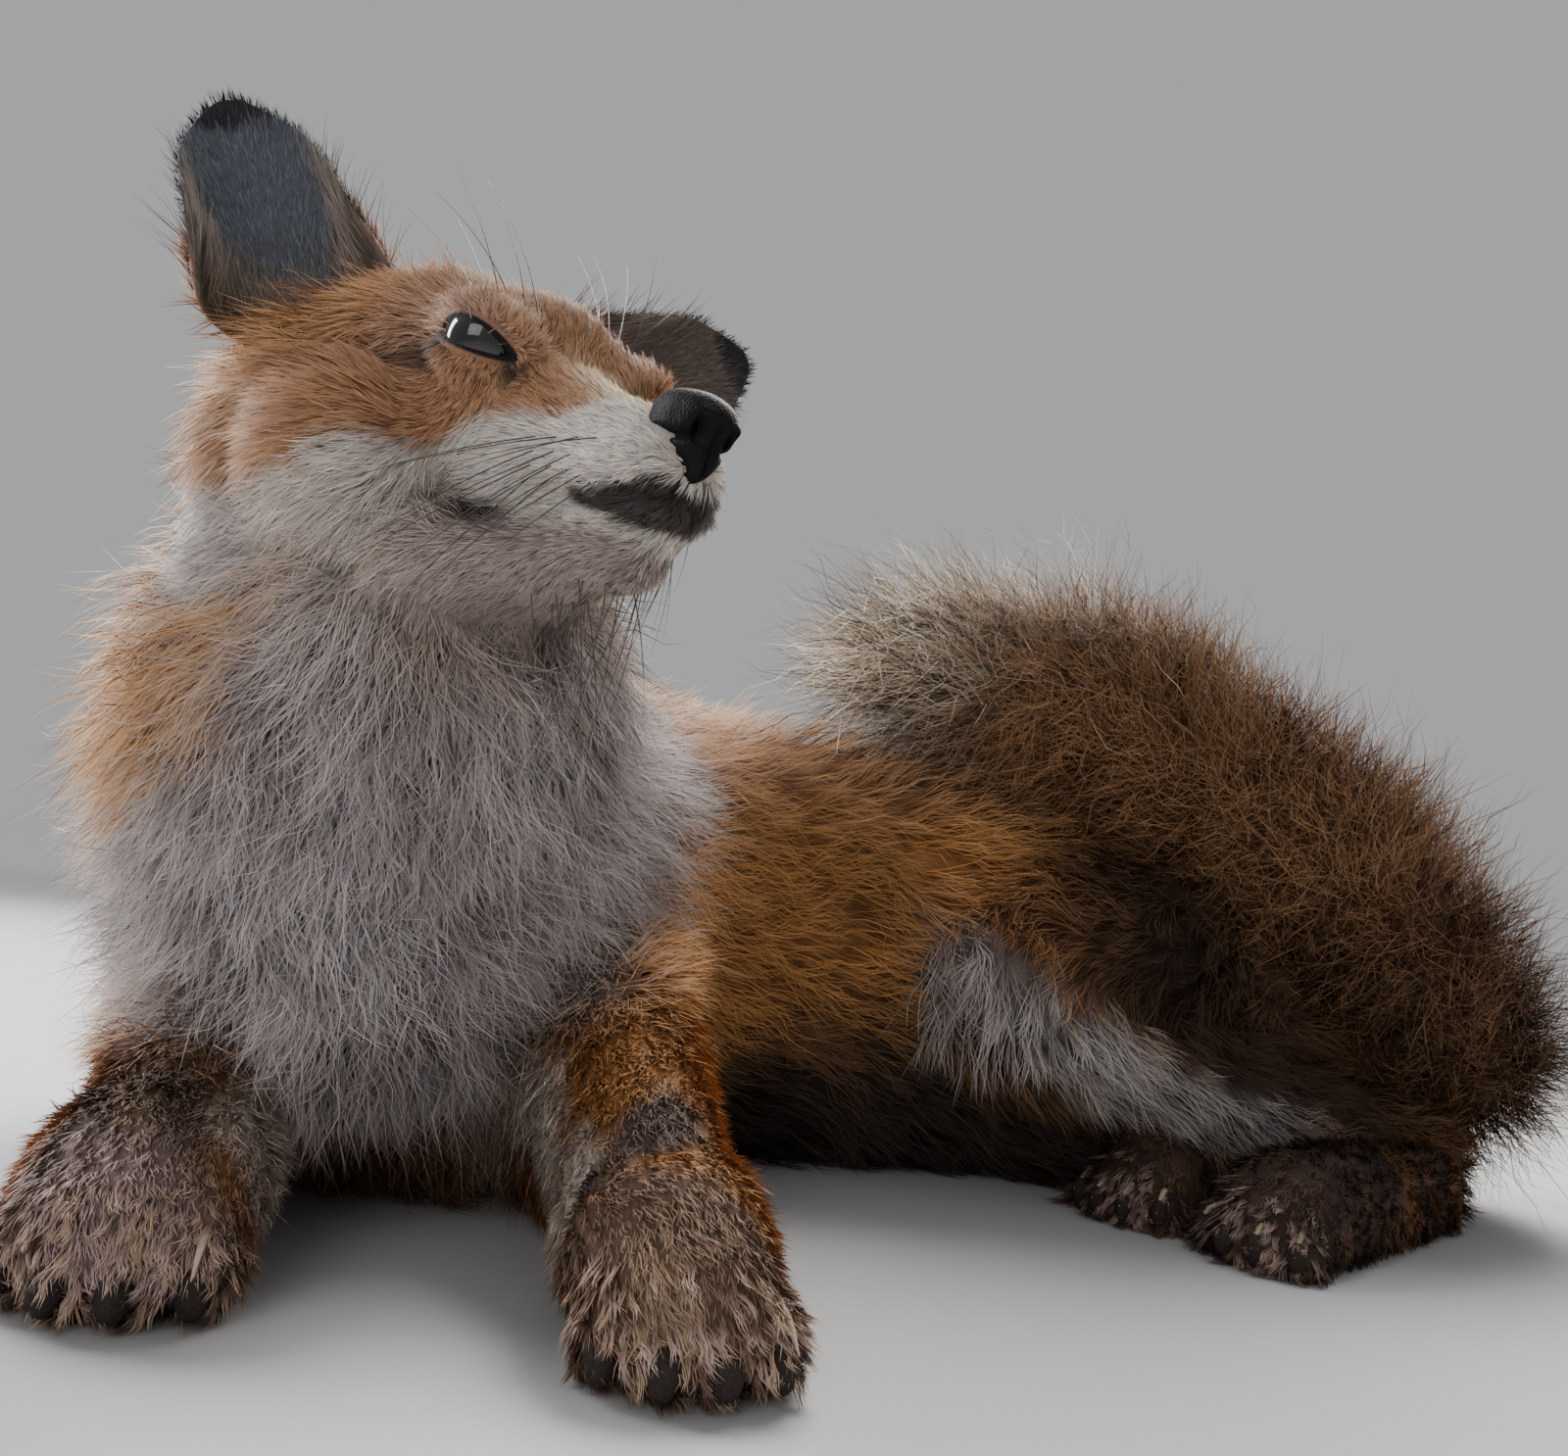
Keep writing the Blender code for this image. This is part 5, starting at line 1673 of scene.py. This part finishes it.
WHISKER_ROWS, WHISKERS_IN_ROW = 4, 4              # on each side of the muzzle
BROW_HAIRS, CHEEK_HAIRS, CHIN_HAIRS = 6, 3, 16   # over each eye, on each cheek, and in all


def whiskers():
    """Whiskers of both sides of the muzzle, and bristles of the brows, the cheeks and the chin."""
    random = np.random.default_rng(41)
    paths = []
    for side in (1, -1):
        for row in range(WHISKER_ROWS):
            for k in range(WHISKERS_IN_ROW):
                start = (0.048 - 0.0065 * k, side * (0.0128 + 0.0014 * k), -0.0205 - 0.0032 * row)
                way = unit(np.array((-0.62 + 0.03 * k, side * (0.66 - 0.05 * row), -0.34 - 0.13 * row)))
                way = unit(way + random.normal(0, 0.07, 3))
                bend = np.array((-0.16, -side * 0.10, -0.10)) + random.normal(0, 0.03, 3)
                length = (0.030 + 0.011 * k + 0.004 * row) * random.uniform(0.8, 1.15)
                paths.append(moved(curved(start, way, bend, length), HEAD))
        for k in range(BROW_HAIRS):
            start = (-0.012 + 0.005 * k, side * (0.0175 - 0.0008 * k), 0.0165 - 0.0012 * k)
            way = unit(np.array((-0.50 + 0.12 * k, side * 0.25, 0.80)) + random.normal(0, 0.12, 3))
            bend = np.array((-0.30, side * 0.05, -0.05)) + random.normal(0, 0.05, 3)
            paths.append(moved(curved(start, way, bend, random.uniform(0.028, 0.046)), HEAD))
        for k in range(CHEEK_HAIRS):
            start = (-0.010 - 0.004 * k, side * 0.030, -0.036)
            way = unit(np.array((-0.45, side * 0.35, -0.55)) + random.normal(0, 0.1, 3))
            paths.append(moved(curved(start, way, (-0.2, 0, -0.1), random.uniform(0.030, 0.045)), HEAD))
    for _ in range(CHIN_HAIRS):
        start = (random.uniform(0.020, 0.046), random.uniform(-0.009, 0.011), -0.0500)
        way = unit(np.array((-0.18, random.uniform(-0.2, 0.45), -0.85)) + random.normal(0, 0.10, 3))
        paths.append(moved(curved(start, way, (-0.25, 0.05, -0.02), random.uniform(0.022, 0.050)), HEAD))
    return rods("whiskers", paths, "whisker", root_radius=0.00017, tip_share=0.15, sides=5)


BARE_CLAW = 0.0036   # how far a forepaw's last claw stands out past the others


def claws():
    """Four curved claws a paw, from inside each toe."""
    paths = []
    for paw, number, matrix, radius in toes():
        bare = BARE_CLAW if number == 3 and paw in FOREPAWS else 0.0
        share = np.linspace(0, 1, 9)
        ahead = radius * 1.05 - 0.0058 + 0.0100 * share + bare * share
        height = radius * 0.30 + 0.0030 + bare - 0.0012 * share - 0.0060 * share ** 2
        paths.append(moved(np.stack([ahead, 0 * share, height], axis=1), matrix))
    return rods("claws", paths, "horn", root_radius=0.0013, tip_share=0.10, taper=1.6, sides=10)


def pads():
    """The toe pads, dark leather under the front of each toe."""
    parts = []
    for _, _, matrix, radius in toes():
        half = (radius * 0.30, radius * 0.31, radius * 0.48)
        parts.append((ball((radius * 1.12, 0, -radius * 0.14), half, 20, 12), matrix))
    mesh = joined_mesh(parts, "toe_pads")
    mesh.shade_smooth()
    return finished(new_piece("toe_pads", mesh), "pad_leather")


# -------------------- coat pieces
def bib_share(points, here):
    """The whitish front of neck and chest."""
    x, y, _ = in_drawing(points)
    front = ramp(x, -0.030, -0.040) * ramp(y, 0.455, 0.430)
    return here.share("neck", "trunk") * front * ramp(x, -0.215, -0.190)


def face_share(points, here):
    """The face before the cheeks' long hair."""
    return here.share(*HEAD_LIMBS) * ramp(in_head(points)[:, 0], -0.024, -0.012)


STUB, SHORT, LONG = 2, 3, 4         # pairs of points along a strand
FEW = 1.0    # share of the strands that are made
GUARD_HAIRS, TOE_TUFTS, EAR_TUFTS = 1200, 640, 5600   # the last is for each ear


def strand_count(pairs, triangles):
    """How many strands make about so many triangles."""
    return int(triangles * FEW / (2 * pairs - 1))


# Each coat piece.  limbs: which ones it is on.  where: the part of them, if not all.  less: a part
# that is left to another piece.  thousands: of triangles.  children: strands in a tuft.  pairs: of
# points along a strand.  clump: how far a tuft draws together.  settle: the lift, in degrees, that
# hairs end at.  swirl: degrees that the lie turns to and fro, in patches of size grain.  tousle:
# degrees that tufts differ by.  stray, ragged and frizz: how strands differ within a tuft.
COATS = {
    "coat_face": dict(limbs=HEAD_LIMBS, where=face_share, thousands=185, children=4, pairs=STUB,
                      clump=0.20, settle=8, swirl=8, grain=0.012, tousle=6),
    "coat_cheeks": dict(limbs=HEAD_LIMBS, less=face_share, thousands=160, children=7, pairs=SHORT,
                        clump=0.30, settle=10, swirl=14, grain=0.02, tousle=8),
    "coat_bib": dict(limbs=("trunk", "neck"), where=bib_share, thousands=198, children=7, pairs=SHORT,
                     clump=0.46, settle=15, swirl=30, grain=0.022, tousle=18, stray=0.14, frizz=0.02,
                     slot="coat_pale"),
    "coat_bib_under": dict(limbs=("trunk", "neck"), where=bib_share, thousands=105, children=4,
                           pairs=SHORT, clump=0.20, settle=26, swirl=34, grain=0.018, tousle=24,
                           stray=0.24, frizz=0.03, slot="coat_pale"),
    "coat_nape": dict(limbs=("neck",), less=bib_share, thousands=95, children=7, pairs=SHORT,
                      clump=0.35, settle=10, swirl=8, grain=0.04),
    "coat_trunk": dict(limbs=("trunk",), less=bib_share, thousands=190, children=7, pairs=SHORT,
                       clump=0.38, settle=12, swirl=20, grain=0.032, tousle=12, stray=0.16),
    "coat_forelegs": dict(limbs=FORELEGS + FOREPAWS, thousands=150, children=4, pairs=STUB, clump=0.25,
                          settle=14, swirl=12, grain=0.02, stray=0.16),
    "coat_hindlegs": dict(limbs=HINDLEGS, thousands=140, children=7, pairs=SHORT, clump=0.45, settle=12,
                          swirl=18, grain=0.025, tousle=12, stray=0.15),
    "coat_brush": dict(limbs=("tail",), thousands=195, children=4, pairs=LONG, clump=0.15, settle=24,
                       swirl=24, grain=0.028, tousle=24, stray=0.26, ragged=0.5, frizz=0.05),
}


def make_coat(surfaces):
    """All coat pieces of the body."""
    for order, (name, traits) in enumerate(COATS.items()):
        coat_piece(name, surfaces, seed=100 + 10 * order, **traits)


def guard_hairs(surfaces):
    """Long fine dark hairs that sweep from the tail's tip, and a few along its top."""
    mesh, here, surface = surfaces["body"]
    points = vertex_arrays(mesh)[0]
    random = np.random.default_rng(401)
    x, _, z = in_drawing(points)
    weight = here.share("tail") * (ramp(x, 0.150, 0.070) + 0.06 * ramp(z, 0.17, 0.22))
    roots, outward, spacing = sample(mesh, int(GUARD_HAIRS * FEW), weight, random)
    lay = Lie(roots, outward)
    count = len(roots)
    lie = turned_about(lay.lie, outward, np.radians(random.normal(0, 22, count)))
    tip = ramp(roots[:, 0] + ORIGIN.x, 0.150, 0.090)
    length = random.uniform(0.042, 0.062, count) + 0.010 * tip
    colours = Markings(count, "guard")
    colours.lay("brush_tip", (1 - tip) * (random.uniform(size=count) > 0.5))
    lift, width, curl = random.uniform(30, 62, count), np.full(count, 0.00031), np.full(count, 0.006)
    tufts = Tufts(roots, outward, lie, spacing, length, lift, width, curl, colours.parts,
                  unwrapped(roots, lay, ("tail",)))
    piece = strands("coat_brush_guard", tufts, 1, LONG, 0.0, 16, 402, frizz=0.02, surface=surface)
    return finished(piece, "fur")


def toe_tufts(surfaces):
    """Matted blond tufts that hang over and between the toes."""
    mesh = surfaces["body"][0]
    points = vertex_arrays(mesh)[0]
    random = np.random.default_rng(301)
    weight = np.zeros(len(points))
    for _, _, matrix, radius in toes():
        local = moved(points, matrix.inverted())
        far = np.linalg.norm(local / np.array((radius * 1.6, radius * 0.9, radius * 1.2)), axis=1)
        mine = ramp(far, 1.5, 1.0) * ramp(local[:, 0], -radius * 0.4, radius * 0.8)
        weight = np.maximum(weight, mine)
    weight = weight * clear_of_pads(points)
    roots, outward, spacing = sample(mesh, int(TOE_TUFTS * FEW), weight, random)
    lay = Lie(roots, outward)
    forward = unit(lay.limb_lie)
    wild = random.normal(0, 0.35, (len(roots), 3))
    lie = on_skin(forward + wild + np.array((0, 0, -0.75)), outward)
    length = random.uniform(0.006, 0.0115, len(roots))
    colours = Markings(len(roots), "paw")
    hind = lay.share(*HINDPAWS, *FEET)
    colours.lay("toe_tuft", random.uniform(0.1, 1.0, len(roots)) * (1 - 0.55 * hind))
    colours.lay("leg_dark", hind * random.uniform(0.2, 0.9, len(roots)))
    tufts = Tufts(roots, outward, lie, spacing * 0.8, length, random.uniform(30, 55, len(roots)),
                  np.full(len(roots), 0.0004), np.full(len(roots), 0.0009), colours.parts,
                  unwrapped(roots, lay, FOREPAWS + HINDPAWS))
    piece = strands("coat_toe_tufts", tufts, 11, SHORT, 0.75, 22, 302, stray=0.12)
    return finished(piece, "fur")


def ear_coat(surfaces):
    """Short hair behind the ears and inside them, longer at their roots and inner rims."""
    for seed, name in enumerate(EARS):
        mesh = surfaces[name][0]
        normals = vertex_arrays(mesh)[1]
        back_to_ear = EARS[name].inverted()
        random = np.random.default_rng(200 + seed)
        turn = np.array(back_to_ear.to_3x3())
        weight = 0.35 + 0.65 * ramp((normals @ turn.T)[:, 0], 0.0, -0.3)
        roots, outward, spacing = sample(mesh, int(EAR_TUFTS * FEW), weight, random)
        local = moved(roots, back_to_ear)
        local_normals = outward @ turn.T
        _, across, up = (np.array(axis) for axis in EARS[name].to_3x3().col)
        edge = local[:, 1:2] / (EAR_WIDTH / 2)
        lie = on_skin(up + across * edge * 0.9, outward)
        root_end = ramp(local[:, 2], 0.034, 0.012)
        inside = in_hollow(local, local_normals) > 0.5
        margin = ramp(np.abs(edge[:, 0]), 0.45, 0.85) * ramp(local[:, 2], 0.066, 0.050)
        length_inside = (0.0045 + 0.0085 * margin) * (1 + 0.3 * root_end)
        length = np.where(inside, length_inside, 0.0040 + 0.0060 * root_end)
        length = length * random.uniform(0.7, 1.3, len(roots))
        lift, width = np.where(inside, 24.0, 18.0), np.where(inside, 0.22, 0.32) * MM
        place = np.stack([(local[:, 1] / EAR_WIDTH + 0.5) * 0.48 + np.where(inside, 0.0, 0.5),
                          np.clip(local[:, 2] / EAR_HEIGHT, 0, 1)], axis=1)
        tufts = Tufts(roots, outward, lie, spacing, length, lift, width, np.full(len(roots), 0.0003),
                      ear_markings(local, local_normals, name), place)
        piece = strands("coat_" + name, tufts, 2, STUB, 0.2, 12, 210 + seed)
        finished(piece, "fur")


# -------------------- the studio
LIGHT_SPREAD = 115   # degrees
# Soft boxes: place, size in metres, power in watts, and colour.
LIGHTS = (
    ("sky_box", (0.25, 0.75, 1.35), 1.1, 28.0, (1.0, 0.975, 0.94)),
    ("left_box", (-1.3, 0.35, 0.75), 0.9, 24.0, (0.98, 0.985, 1.0)),
    ("front_box", (-0.45, -1.5, 0.85), 0.9, 2.8, (1.0, 1.0, 1.0)),
)


def camera():
    """The camera: low, level with the chest, a little tilted."""
    lens = bpy.data.cameras.new("camera")
    lens.lens = LENS
    lens.sensor_width = SENSOR
    lens.clip_start = 0.01
    view = new_piece("camera", lens)
    turn = Matrix.Rotation(math.radians(90 + TILT_UP), 4, "X") @ Matrix.Rotation(math.radians(ROLL), 4, "Z")
    view.matrix_world = Matrix.Translation(Vector((0, 0, EYE_HEIGHT)) - ORIGIN) @ turn
    bpy.context.scene.camera = view


def soft_light(name, place, aim, size, power, colour):
    """A soft box at a place, pointed at a spot."""
    data = bpy.data.lights.new(name, "AREA")
    data.shape = "SQUARE"
    data.size = size
    data.energy = power
    data.color = colour
    data.spread = math.radians(LIGHT_SPREAD)
    lamp = new_piece(name, data)
    way = (Vector(aim) - Vector(place)).normalized()
    lamp.matrix_world = Matrix.Translation(place) @ way.to_track_quat("-Z", "Y").to_matrix().to_4x4()


def studio():
    """A pale floor, darker near the fox, a pale surrounding and soft lights."""
    mesh = bmesh.new()
    bmesh.ops.create_grid(mesh, x_segments=2, y_segments=2, size=40.0)
    floor = new_piece("floor", mesh_of(mesh, "floor"))
    paper = Finish("floor_paper", roughness=0.9, specular=0.2)
    place = paper.node("TexCoord", {}, output="Object")
    away = paper.node("VectorMath", {"operation": "LENGTH"}, place, output="Value")
    far = paper.node("MapRange", {"interpolation_type": "SMOOTHSTEP"}, away, 0.7, 2.6, 0.0, 1.0)
    cloud = paper.noise(paper.place(), 3.0, 3.0)
    paper.feed("Base Color", paper.mix(far, paper.mix(cloud, grey(0.40), grey(0.43)), grey(0.98)))
    floor.data.materials.append(paper.material)
    world = bpy.data.worlds.new("studio")
    bpy.context.scene.world = world
    world.use_nodes = True
    backdrop = world.node_tree.nodes["Background"]
    backdrop.inputs["Color"].default_value = (0.93, 0.94, 0.96, 1.0)
    backdrop.inputs["Strength"].default_value = 0.46
    middle = (0.0, 0.0, 0.12)
    for name, place, size, power, colour in LIGHTS:
        soft_light(name, place, middle, size, power, colour)


# -------------------- the fox
camera()
studio()
skin, surfaces, head_skin = make_skin()
finished(skin, "skin")
flesh = [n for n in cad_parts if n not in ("eye_left", "eye_right", "nose")]
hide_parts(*flesh)
for eye_name in EYES:
    glass_eye(eye_name)
nose_leather()
lips(head_skin)
whiskers()
claws()
pads()
make_coat(surfaces)
ear_coat(surfaces)
toe_tufts(surfaces)
guard_hairs(surfaces)
for spare in surfaces.values():
    bpy.data.meshes.remove(spare[0])
